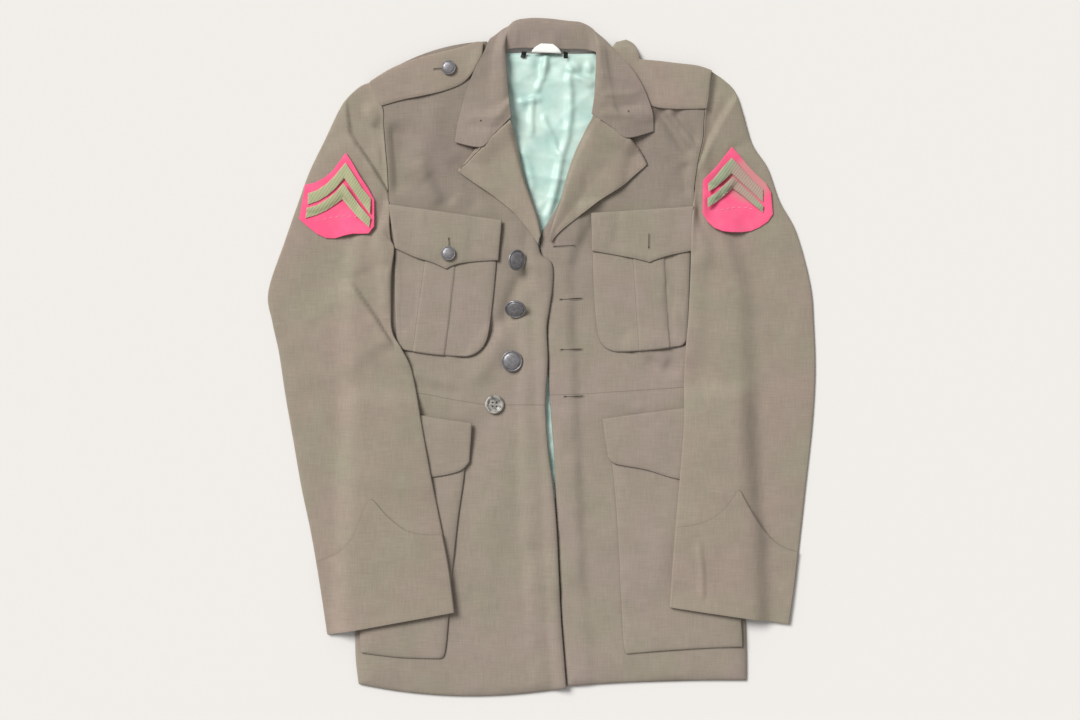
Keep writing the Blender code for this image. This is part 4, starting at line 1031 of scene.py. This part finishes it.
def worn_patch(tree, flat, colour, worn, strength):
    """Mixes in a rubbed, greyish shade round the middle of the stripes on the wearer's left badge."""
    away = add(tree, "ShaderNodeVectorMath", [(0, flat, 0)], operation="DISTANCE")
    away.inputs[1].default_value = (*RUBBED_PLACE, 0.0)
    return mixed(tree, span(tree, away, "Value", 0.018, 0.033, strength, 0.0, smooth=True), colour, worn)


def felt(name, main, pale, worn=None):
    """Pressed wool felt: no weave, a matt fuzz of short fibres in all directions."""
    made, tree, shader = fresh(name, 1.0, sheen=0.15, specular=0.1)
    where = add(tree, "ShaderNodeTexCoord")
    patch = noise(tree, where, "Object", 60.0, 3.0)
    colour = mixed(tree, span(tree, patch, "Fac", 0.4, 0.75), main, pale)
    if worn:
        colour = worn_patch(tree, add(tree, "ShaderNodeUVMap", uv_map="flat"), colour, worn, 0.85)
    dye(tree, shader, colour)
    emboss(tree, shader, noise(tree, where, "Object", 900.0, 3.0), "Fac", 0.5, 0.0002)
    return made


def braid(name, main, pale, edge, worn=None):
    """Woven braid: slanting ribs about 1.6 mm apart, with a paler band along its edge."""
    made, tree, shader = fresh(name, 0.9, sheen=0.1, specular=0.2)
    flat = add(tree, "ShaderNodeUVMap", uv_map="flat")
    turn = add(tree, "ShaderNodeMapping", [("Vector", flat, 0)], Rotation=(0.0, 0.0, math.radians(35)))
    ribs = add(tree, "ShaderNodeTexWave", [("Vector", turn, 0)], wave_type="BANDS", Scale=100.0,
               Distortion=1.5, Detail=2.0)
    fibres = noise(tree, flat, 0, 160.0, 3.0)
    both = add(tree, "ShaderNodeMath", [(0, ribs, "Fac"), (1, fibres, "Fac")], operation="ADD")
    colour = mixed(tree, span(tree, both, 0, 0.4, 1.6), main, pale)
    rim = span(tree, sewing_distance(tree, "edge"), "Y", 0.4, 1.5, 1.0, 0.0)
    colour = mixed(tree, rim, colour, edge)
    if worn:
        colour = worn_patch(tree, flat, colour, worn, 0.75)
    dye(tree, shader, colour)
    emboss(tree, shader, both, 0, 0.5, 0.0004)
    return made


def plain_cloth(name, main, roughness, pitch):
    """Woven tape or ribbon: one colour and a fine bump of threads."""
    made, tree, shader = fresh(name, roughness, sheen=0.05, specular=0.3)
    dye(tree, shader, main)
    where = add(tree, "ShaderNodeTexCoord")
    place = add(tree, "ShaderNodeMapping", [("Vector", where, "Object")])
    emboss(tree, shader, threads(tree, place, 6 * pitch, pitch), 0, 0.3, 0.0002)
    return made


def thread(name, main):
    """Silk twist: smooth sewing thread with a slight shine."""
    made, tree, shader = fresh(name, 0.6, sheen=0.1, specular=0.3)
    dye(tree, shader, main)
    where = add(tree, "ShaderNodeTexCoord")
    twist = add(tree, "ShaderNodeTexWave", [("Vector", where, "Object")], Scale=600.0, Distortion=2.0)
    emboss(tree, shader, twist, "Fac", 0.5, 0.0002)
    return made


def aged_bronze(name, high, low):
    """Stamped brass, darkened with an oxide: bright where rubbed, dull brown-grey in the hollows."""
    made, tree, shader = fresh(name, 0.45, metallic=0.6)
    wear = noise(tree, add(tree, "ShaderNodeTexCoord"), "Object", 260.0, 5.0, Roughness=0.65)
    dye(tree, shader, mixed(tree, span(tree, wear, "Fac", 0.3, 0.75), low, high))
    rough = span(tree, wear, "Fac", 0.3, 0.7, 0.55, 0.33)
    tree.links.new(rough.outputs[0], shader.inputs["Roughness"])
    emboss(tree, shader, wear, "Fac", 0.5, 0.0005)
    return made


def horn_plastic(name, dark, pale):
    """Cast polyester button blank: grey with cloudy pale streaks, polished."""
    made, tree, shader = fresh(name, 0.16)
    cloud = noise(tree, add(tree, "ShaderNodeTexCoord"), "Object", 140.0, 3.0, Distortion=1.5)
    dye(tree, shader, mixed(tree, span(tree, cloud, "Fac", 0.4, 0.65), dark, pale))
    return made


def floor_paint(name, main):
    """A plain matt surface to lie on."""
    made, tree, shader = fresh(name, 0.9, specular=0.2)
    dye(tree, shader, main)
    return made


# Building the pieces in the order in which they lie on each other

def lay_back():
    """The back: straight falls from the shoulder line to the hem, flat on the table."""
    falls = through(BACK, np.linspace(0, len(BACK) - 1, BACK_FALLS))
    share = np.linspace(0, 2, BACK_LEVELS)
    grid = np.stack([through(line, share) for line in falls.reshape(len(falls), 3, 2)])
    points = np.dstack([grid, np.zeros(grid.shape[:2])])
    cloth("jacket_back", points, BACK_WALL, WOOL, "back")


def lay_lining():
    """The satin behind the neck and between the fronts, with the small wrinkles of a sewn-in lining."""
    grid = plan(LINING, LINING_STEP)
    x, y = grid.x, grid.y
    edge = nearest_edge(grid)
    folds = fold_height(x, y, LINING_FOLDS)
    ruche = 1.5 * np.sin(x / 4.2 + 1.6 * np.sin(x / 9.0)) * np.exp(-((y - 350 + 0.05 * x) / 8.0) ** 2)
    fine = crumple(x, y, 19, 1.3, 1.5) + crumple(x, y, 8.5, 0.7, 0.9) + hand_waves(x, y, 15, 1.1, 0.6)
    form = np.clip(2.4 + 2.7 * folds + ruche + fine, 0, None) * ease(edge / 8)
    calm_towards_hem = 1 - 0.9 * ease((-y - 250) / 80)
    z = PILE.rest(x, y, 4, 2) + SEAM_GAP + form * calm_towards_hem
    cloth("lining_of_back", np.stack([x, y, z], axis=-1), LINING_WALL, SATIN, "back_lining",
          edge)


def lay_fronts():
    """The two fronts over the back; the right one also lies on the left one at the chest.

    They stand full up to the armhole, where the padded shoulder holds them, and thin out elsewhere.
    """
    for name, table in FRONTS.items():
        grid = plan(table)
        held_up = 60 * ease((grid.y + 250) / 90)
        side = grid.from_side_a + held_up
        edge = np.minimum(np.minimum(side, grid.from_side_b), np.minimum(grid.from_end, grid.from_start + 30))
        # The fronts' wool has painted shade, darker towards the chest
        lay("cloth_" + name, grid, CLOTH_WALL, WOOL_FRONT_PAINTED_SHADE, name, ["jacket_back"],
            swelling(edge, FRONT_PUFF, FRONT_RIM), folds=FRONT_FOLDS[name], seam=SEAMS[name], waves=1.1)
        ARMHOLES[name.split("_")[0]] = np.stack([grid.x[::-1, 0], grid.y[::-1, 0]])


def lay_pockets():
    """Pleated chest pockets and plain lower ones, then their flaps."""
    for name, table in CHEST_POCKETS.items():
        grid = plan(table, FINE_STEP)
        outer, inner = (seam_map(grid.x, grid.y, line) for line in PLEATS[name])
        pleat = 1.3 * ease((0.4 - outer[..., 1]) / 1.6) * ease((0.4 + inner[..., 1]) / 1.6)
        # Painted shade in the pleats' creases and along the pocket's rim, through its seam map
        lay_on_front(name, grid, POCKET_WALL, WOOL, swelling(nearest_edge(grid), 1.3, 16) + pleat,
                     folds=POCKET_FOLDS, waves=0.5,
                     seam=nearer_seam(nearer_seam(outer, inner), rim_shade_map(grid)))
    for name, table in LOWER_POCKETS.items():
        grid = plan(table)
        # Painted shade along the pocket's rim, through its seam map
        lay_on_front(name, grid, POCKET_WALL, WOOL, swelling(nearest_edge(grid), 2.0, 22),
                     folds=POCKET_FOLDS, seam=rim_shade_map(grid), waves=0.9)
    for name, table in FLAPS.items():
        grid = plan(table, FINE_STEP)
        # Painted shade along the flap's rim, through its seam map
        lay("cloth_" + name, grid, FLAP_WALL, WOOL, name, ["cloth_" + name.replace("flap", "pocket")],
            swelling(nearest_edge(grid), 0.7, 14), seam=rim_shade_map(grid), waves=0.4)


def lay_straps():
    """The shoulder straps."""
    for name, table in STRAPS.items():
        grid = plan(table, FINE_STEP)
        lay_on_front(name, grid, FLAP_WALL, WOOL_LIGHT, swelling(nearest_edge(grid), 1.0, 14), waves=0.2)


def lay_lapels():
    """The lapels, which stand highest at their roll; gives them back for their gorge seams."""
    laid = {}
    for name, table in LAPELS.items():
        grid = plan(table, FINE_STEP)
        width = grid.from_side_a + grid.from_side_b
        share = grid.from_side_a / width
        roll = ROLL_RISE * 0.75 * ease(width / 40) * ease(share / 0.1) * (1 - ease((share - 0.12) / 0.5))
        roll = roll + 0.35 * ROLL_RISE * ease(1 - grid.from_start / 60) * (1 - ease((share - 0.3) / 0.6))
        laid[name] = lay_on_front(name, grid, CLOTH_WALL, WOOL_LIGHT, roll, waves=0.3)
    return laid


def collar_paths(sections):
    """Each section of the collar as seven points: seam, stand, roll, turn, mid leaf, notch line and edge.

    The stand leaves the seam, the roll turns over, and the leaf comes down on the fronts or hangs clear.
    """
    seam, roll, mid, edge = (sections[:, k:k + 2] for k in (0, 2, 4, 6))
    free = sections[:, 8]
    half = COLLAR_WALL / 2 + SEAM_GAP + 0.2

    def down_to_pile(places, reach):
        return PILE.rest(places[:, 0], places[:, 1], reach) + half

    def at(places, height):
        return np.concatenate([places, height[:, None]], axis=1)

    low = down_to_pile(seam, 5)
    leaf_mid = down_to_pile(mid, 5) * (1 - free) + UNDER_LEAF * free
    leaf_edge = down_to_pile(edge, 6) * (1 - free) + UNDER_LEAF * free
    stand = low * (1 - free) + STAND_HEIGHT * free
    order = np.arange(len(sections))
    from_end = np.minimum(order, order[::-1]) / len(sections)
    rise = ROLL_RISE * (0.05 + 0.95 * ease(from_end / 0.11))
    leaf_top = (low + rise) * (1 - free) + UNDER_LEAF * free
    return np.stack([
        at(seam, low),
        at(roll * 0.7 + seam * 0.3, stand),
        at(roll, (stand + leaf_top) / 2),
        at(roll * 0.78 + mid * 0.22, leaf_top),
        at(roll * 0.4 + mid * 0.6, leaf_top * 0.62 + leaf_mid * 0.38),
        at(mid, leaf_mid),
        at(edge, leaf_edge),
    ])


def lay_collar():
    """The collar in one piece: a smooth surface through its sections, with soft wrinkles on the leaves."""
    sections = through(COLLAR, np.linspace(0, len(COLLAR) - 1, COLLAR_SECTIONS))
    sections[:, 8] = np.clip(sections[:, 8], 0, 1)
    steps = np.concatenate([np.linspace(0, 3, 25), np.linspace(3.15, 5, 16), np.linspace(5.08, 5.9, 12),
                            [5.94, 5.97, 6]])
    paths = collar_paths(sections)
    across = through(paths.reshape(len(paths), -1), steps)
    points = across.reshape(len(steps), -1, 3).transpose(1, 0, 2).copy()
    x, y = points[..., 0], points[..., 1]
    share = (steps / 6)[None, :] * np.ones_like(x)
    over = ease((share - 0.45) * 8) * (1 - sections[:, 8])[:, None]
    points[..., 2] += fold_height(x, y, COLLAR_FOLDS) * over * ease((1 - share) * 9 + 0.15)
    points[..., 2] += fold_height(x, y, STAND_FOLDS) * ease((0.33 - share) * 8) * ease(share * 12)
    cloth("cloth_collar", points, COLLAR_WALL, WOOL_DARK, "collar",
          offset=0.0)


def sew_gorge(lapel, line):
    """Raises a lapel to its collar's height along their seam, so that the two lie flush there.

    The lift is full at the seam, falls to nothing 24 mm inside the lapel and stays off under the collar.
    """
    points = places_of(lapel.data) / MM
    start, end = (np.array(place) for place in line)
    length = float(np.linalg.norm(end - start))
    ahead = (end - start) / np.linalg.norm(end - start)
    aside = np.array([ahead[1], -ahead[0]])
    runs = np.linspace(0, length, 30)
    beside = start + runs[:, None] * ahead - COLLAR_READ * aside
    collar_top = PILE.blend(beside[:, 0], beside[:, 1], 1)
    along, off = seam_map(points[:, 0], points[:, 1], line, 400.0).T
    wanted = np.interp(along, runs, collar_top) - CLOTH_WALL - 0.1 - points[:, 2]
    points[:, 2] += np.maximum(wanted, 0) * (ease((off + 0.2) / 1.2) * (1 - ease(off / GORGE_RISE)))
    lapel.data.vertices.foreach_set("co", (points.reshape(-1) * MM).astype(np.float32))
    lapel.data.update()


def sleeve_place(table, places, share):
    """Where a point of a flat sleeve lies on its ring: x, y, the ring's length and its hollow."""
    rings = through(table, places.ravel())
    *line, hollow = (rings[:, k].reshape(places.shape) for k in range(6))
    return *across_line(*line, share), hollow


def lay_sleeve(side):
    """A sleeve pressed flat: rings go along the underside and back over the top, with soft round edges."""
    table = SLEEVES[side]
    run = run_along(table)
    order = np.arange(len(table))
    angle = np.linspace(0, 2 * math.pi, SLEEVE_ROUND, endpoint=False)[None, :]
    places = np.interp(np.linspace(0, run[-1], int(run[-1] / STEP) + 1), run, order)[:, None]
    places = places * np.ones_like(angle)
    share = 0.5 - 0.5 * np.sign(np.cos(angle)) * np.abs(np.cos(angle)) ** 0.85 * np.ones_like(places)
    inset = SLEEVE_WALL / sleeve_place(table, places, share)[2]
    share = inset + share * (1 - 2 * inset)
    x, y, _, hollow = sleeve_place(table, places, share)
    upper = np.clip(np.sin(angle), 0, 1) ** 0.75 * np.ones_like(places)
    down = np.interp(places, order, run)
    seam_x = np.interp(y[:1], ARMHOLES[side][1], ARMHOLES[side][0]) + 0.5 * np.sign(x[:1])
    x = x + (seam_x - x[:1]) * (1 - ease(down / ARMHOLE_PULL))
    cap = 1 - ease((down - CAP_START) / CAP_RUN)
    floor = PILE.blend(x, y, 3) * cap + PILE.rest(x, y, 4, 6) * (1 - cap) + SLEEVE_WALL + SEAM_GAP
    ends = 0.2 + 0.8 * ease((run[-1] - down) / 20)
    sewn_down = ease((down + 2) / 20)
    form = fold_height(x, y, SLEEVE_FOLDS[side]) + hand_waves(x, y, 30, 1.1, 1.0 + 0.01 * table[0].ax)
    raised = step_height(x, y, SLEEVE_STEPS[side]) * ease((down + 2) / 12)
    z = floor + upper * np.maximum((hollow + form * ends) * sewn_down + raised, 0.35)
    cloth(f"cloth_{side}_sleeve", np.stack([x, y, z], axis=-1), SLEEVE_WALL, WOOL_LIGHT, f"{side}_sleeve",
          closed=True)


def lay_cuff(side):
    """The pointed cuff on its sleeve, from the sleeve's end up to its pointed edge."""
    table = SLEEVES[side]
    marks = np.asarray(CUFFS[side], float)
    marks[0, 0], marks[-1, 0] = 0.005, 0.995
    smooth = through(marks, np.linspace(0, len(marks) - 1, CUFF_ACROSS))
    share = np.linspace(marks[0, 0], marks[-1, 0], CUFF_ACROSS)[None, :]
    height = np.interp(share, smooth[:, 0], smooth[:, 1])
    run = run_along(table)
    up = spaced(110, CUFF_STEP)[:, None]
    places = np.interp(run[-1] - up * height, run, np.arange(len(table)))
    share = share * np.ones_like(places)
    x, y, length, _ = sleeve_place(table, places, share)
    along = up * height
    grid = Plan(x, y, along, height - along, (share - marks[0, 0]) * length, (marks[-1, 0] - share) * length)
    # Painted shade along the cuff's pointed upper edge, through its seam map
    rim = np.stack([grid.from_side_a, grid.from_end * 0.5], axis=-1)
    lay(f"cloth_{side}_cuff", grid, CUFF_WALL, WOOL_LIGHT, f"{side}_cuff", [f"cloth_{side}_sleeve"],
        folds=CUFF_FOLDS, seam=rim, lip=0.3, soft=1.0, reach=2.0)


def lay_badges():
    """Felt patches with braid stripes on both sleeves."""
    for side, cloth_here in (("right", FELT), ("left", WORN_FELT)):
        lay(f"felt_{side}_badge", plan(PATCHES[side], FINE_STEP, corners=True), BADGE_WALL, cloth_here,
            f"{side}_badge", [f"cloth_{side}_sleeve"], slot="red_felt", lip=0.5)
    for name, table in STRIPES.items():
        grid = plan(table, STRIPE_STEP, corners=True)
        crown = 0.25 * np.sqrt(np.clip(np.minimum(grid.from_side_a, grid.from_side_b) / 5.5, 0, 1))
        side = name.split("_")[0]
        lay("braid_" + name, grid, STRIPE_WALL, WORN_BRAID if side == "left" else BRAID, name,
            [f"felt_{side}_badge"], crown, slot="green_braid", lip=0.5, soft=1.0)


def lay_neck_trims():
    """The blank neck label and the two ends of the hanger loop."""
    lay("blank_label", plan(NECK_LABEL, TRIM_STEP), LABEL_WALL, TAPE, "neck_label", ["cloth_collar"], 0.2,
        slot="white_tape", lip=0.3, reach=2.0, soft=1.0)
    for name, table in LOOP_ENDS.items():
        lay("ribbon_" + name, plan(table, TRIM_STEP, corners=True), RIBBON_WALL, RIBBON, name,
            ["lining_of_back"], 0.3, slot="black_ribbon", lip=0.4, reach=2.0, soft=1.0)


# Threads, worked holes and buttons

def on_top(places, lift):
    """Flat places raised to the top of the pile, plus a lift."""
    height = PILE.read(places[..., 0], places[..., 1])
    return np.concatenate([places, height[..., None] + lift], axis=-1)


def set_down(shape, x, y, turn):
    """A flat shape turned by an angle in degrees and moved to its place."""
    c, s = math.cos(math.radians(turn)), math.sin(math.radians(turn))
    return np.stack([x + shape[..., 0] * c - shape[..., 1] * s, y + shape[..., 0] * s + shape[..., 1] * c],
                    axis=-1)


def bead(name, path, radius, material, closed=False):
    """A round thread carried along a path: each ring stands at right angles to the path's direction."""
    ahead = np.roll(path, -1, 0) - np.roll(path, 1, 0) if closed else np.gradient(path, axis=0)
    ahead /= np.linalg.norm(ahead, axis=1, keepdims=True)
    side = np.cross(ahead, [0.0, 0.0, 1.0])
    side /= np.linalg.norm(side, axis=1, keepdims=True)
    up = np.cross(side, ahead)
    angle = np.linspace(0, 2 * math.pi, BEAD_SIDES, endpoint=False)
    ring = np.cos(angle)[None, :, None] * side[:, None] + np.sin(angle)[None, :, None] * up[:, None]
    points = path[:, None] + radius * ring
    if closed:
        points = np.concatenate([points, points[:1]], axis=0)
    hold(surface(name, points, material, closed=True))


def hole_shade_patch(name, points, closed=True):
    """A dark patch of painted shade that reads as a hole."""
    hold(surface(name, points, HOLE_SHADE, closed))


def work_stitches():
    """A shallow row of plain tacking stitches on each badge, below its stripes."""
    for side, (start, end) in TACKS.items():
        for i in range(TACK_COUNT):
            at = (i + 0.5) / TACK_COUNT
            x = start[0] + (end[0] - start[0]) * at
            y = start[1] + (end[1] - start[1]) * at + 3.0 * math.sin(math.pi * at)
            places = np.array([[x - 1.8, y - 0.3], [x, y], [x + 1.8, y + 0.3]])
            path = on_top(places, np.array([[0.0], [0.35], [0.0]]))
            bead(f"{side}_tack_{i + 1}", path, 0.4, PINK_THREAD)


def slot_path(length, width):
    """A long closed loop: two straight sides joined by half circles."""
    angle = np.linspace(0, 2 * math.pi, 40, endpoint=False)
    half = (length - width) / 2
    return np.stack([np.sign(np.cos(angle)) * half * np.clip(np.abs(np.cos(angle)) * 6, 0, 1)
                     + width / 2 * np.cos(angle), width / 2 * np.sin(angle)], axis=1)


def buttonhole(hole):
    """A worked buttonhole: a bead of thread round a slit of painted shade that widens to a small eye at its
    near end.
    """
    loop = set_down(slot_path(hole.length, HOLE_WIDTH), hole.x, hole.y, hole.turn)
    bead(hole.name, on_top(loop, 0.05), 0.42, THREAD, closed=True)
    run = np.linspace(-0.5, 0.5, 40)
    half = 0.28 + 0.55 * np.exp(-((run + 0.46) / 0.05) ** 2)
    half[[0, -1]] = 0.02
    inside = run * (hole.length - HOLE_WIDTH)
    slit = np.stack([np.stack([inside, half], axis=1), np.stack([inside, -half], axis=1)])
    hole_shade_patch(hole.name + "_slit_shade", on_top(set_down(slit, hole.x, hole.y, hole.turn), 0.3), closed=False)


def eyelet(name, middle):
    """A small worked eyelet: a ring of thread round a hole of painted shade."""
    angle = np.linspace(0, 2 * math.pi, 20, endpoint=False)
    middle = np.array([middle])
    place = middle + EYELET_RADIUS * np.stack([np.cos(angle), np.sin(angle)], axis=1)
    bead(name, on_top(place, 0.1), 0.35, THREAD, closed=True)
    inner = np.stack([place * 0.8 + middle * 0.2, place * 0.1 + middle * 0.9])
    # The hole is a dark patch of painted shade
    hole_shade_patch(name + "_hole", on_top(inner, 0.3))


def turned_points(profile, turns=64):
    """A profile of (radius, height) turned round Z: each ring is its radius times cosine and sine."""
    profile = np.asarray(profile, float)
    angle = np.linspace(0, 2 * math.pi, turns, endpoint=False)[None, :]
    radius, height = profile[:, 0:1], profile[:, 1:2]
    return np.stack([radius * np.cos(angle), radius * np.sin(angle), height * np.ones_like(angle)], axis=-1)


def rounded_profile(corners, between):
    """A smooth curve through the corners of a profile."""
    return through(corners, np.linspace(0, len(corners) - 1, (len(corners) - 1) * between + 1))


def place_turned(name, profile, material, node, tilt=(0.0, 0.0)):
    """Turns a profile, tips it by the two angles and sets it where the solid of the same piece lies."""
    ax, ay = (math.radians(a) for a in tilt)
    tip_x = np.array([[1, 0, 0], [0, math.cos(ax), -math.sin(ax)], [0, math.sin(ax), math.cos(ax)]])
    tip_y = np.array([[math.cos(ay), 0, math.sin(ay)], [0, 1, 0], [-math.sin(ay), 0, math.cos(ay)]])
    points = turned_points(profile) @ (tip_y @ tip_x).T
    low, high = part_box(node)
    middle = (Vector(low) + Vector(high)) / 2 / MM
    flat = points.reshape(-1, 3)
    off = (flat.max(0) + flat.min(0)) / 2
    points = points + np.array([middle.x, middle.y, 0]) - np.array([off[0], off[1], 0])
    points[..., 2] += 0.3 - (points[..., 2] - PILE.read(points[..., 0], points[..., 1])).min()
    hold(surface(name, points, material, closed=True), node)
    return points


def place_buttons():
    """Five metal buttons on shanks and one flat button with four holes."""
    for name, (radius, tilt) in METAL_BUTTONS.items():
        profile = rounded_profile([(max(radius * out, 0.001), radius * up) for out, up in DOME], 4)
        place_turned("bronze_" + name, profile, BRONZE, name, tilt)
    points = place_turned("sewn_plain_button", rounded_profile(PLAIN_DISC, 5), HORN, "plain_button")
    middle = points.reshape(-1, 3).mean(axis=0)
    # The four holes are dark discs of painted shade
    for i, (dx, dy) in enumerate(((-2.4, -2.4), (2.4, -2.4), (2.4, 2.4), (-2.4, 2.4))):
        hole = turned_points(((0.001, 1.75), (0.9, 1.78), (1.15, 1.72), (1.2, 1.55)), 16)
        base = np.array([middle[0] + dx, middle[1] + dy, points[..., 2].min()])
        hole_shade_patch(f"button_hole_{i + 1}", hole + base)


def set_stage():
    """A plain pale floor, one soft light beyond the collar and the camera overhead."""
    mesh = bpy.data.meshes.new("floor")
    corners = [(FLOOR_HALF * a, FLOOR_HALF * b, FLOOR_LEVEL) for a, b in ((-1, -1), (1, -1), (1, 1), (-1, 1))]
    mesh.from_pydata(corners, [], [(0, 1, 2, 3)])
    mesh.materials.append(floor_paint("floor_paint", "#e9e6e2"))
    into_scene("floor", mesh)
    lamp = bpy.data.lights.new("key_light", "SUN")
    lamp.angle = math.radians(LIGHT_SPREAD)
    lamp.energy = LIGHT_POWER
    light = into_scene("key_light", lamp)
    light.location = LIGHT_PLACE
    light.rotation_euler = (-Vector(LIGHT_PLACE)).to_track_quat("-Z", "Y").to_euler()
    world = bpy.data.worlds.new("soft_room")
    world.use_nodes = True
    world.node_tree.nodes["Background"].inputs["Color"].default_value = (1.0, 1.0, 1.0, 1.0)
    world.node_tree.nodes["Background"].inputs["Strength"].default_value = ROOM_LIGHT
    bpy.context.scene.world = world
    lens = bpy.data.cameras.new("overhead")
    lens.sensor_width = SENSOR
    lens.lens = SENSOR * (CAMERA_HEIGHT - HALF_RISE) / (PHOTO_WIDTH * SCALE)
    lens.clip_end = 20.0
    camera = into_scene("overhead", lens)
    camera.location = ((PHOTO_WIDTH / 2 - PHOTO_X) * SCALE * MM, (PHOTO_Y - PHOTO_HEIGHT / 2) * SCALE * MM,
                       CAMERA_HEIGHT * MM)
    bpy.context.scene.camera = camera
    bpy.context.scene.view_settings.view_transform = "Standard"


WOOL = wool_cloth("worsted_wool", "#9a8d80", "#968f7c", "#9c8c83")
# A copy of the wool for the fronts, with painted shade that darkens it towards the chest
WOOL_FRONT_PAINTED_SHADE = wool_cloth("worsted_wool_front_painted_shade", "#9a8d80", "#968f7c", "#9c8c83", 0.87)
WOOL_LIGHT = wool_cloth("worsted_wool_sleeve", "#9b8f7e", "#97917e", "#9e8c82")
WOOL_DARK = wool_cloth("worsted_wool_collar", "#95877b", "#93897a", "#95857e")
# The second colour is painted shade of the lining's creases
SATIN = satin_lining("mint_satin", "#cfe5da", "#aed0c6")
FELT = felt("red_felt", "#f95f88", "#fc6c90")
WORN_FELT = felt("red_felt_rubbed", "#f95f88", "#fc6c90", "#c98f8a")
BRAID = braid("green_braid", "#a3a881", "#b3b38d", "#c0b391")
WORN_BRAID = braid("green_braid_rubbed", "#94a183", "#a3ad8e", "#b5a18b", "#b8968d")
TAPE = plain_cloth("white_tape", "#f8f8f2", 0.8, 0.8)
RIBBON = plain_cloth("black_ribbon", "#1d1c20", 0.5, 0.8)
THREAD = thread("buttonhole_twist", "#8f8475")
PINK_THREAD = thread("tacking_thread", "#f9a0b4")
# Painted shade for slits and holes, made with the thread material
HOLE_SHADE = thread("painted_hole_shade", "#3a332e")
BRONZE = aged_bronze("oxidised_bronze", "#a8a5a6", "#737074")
HORN = horn_plastic("grey_horn", "#75716b", "#bcb8b0")

PILE = Pile()
ARMHOLES = {}
lay_back()
lay_lining()
lay_fronts()
lay_pockets()
lay_straps()
LAID_LAPELS = lay_lapels()
lay_collar()
for lapel_name, gorge in GORGES.items():
    sew_gorge(LAID_LAPELS[lapel_name], gorge)
for sleeve_side in SLEEVES:
    lay_sleeve(sleeve_side)
for sleeve_side in SLEEVES:
    lay_cuff(sleeve_side)
lay_badges()
work_stitches()
lay_neck_trims()
for one_hole in HOLES:
    buttonhole(one_hole)
for eyelet_name, eyelet_place in EYELETS.items():
    eyelet(eyelet_name, eyelet_place)
place_buttons()
set_stage()
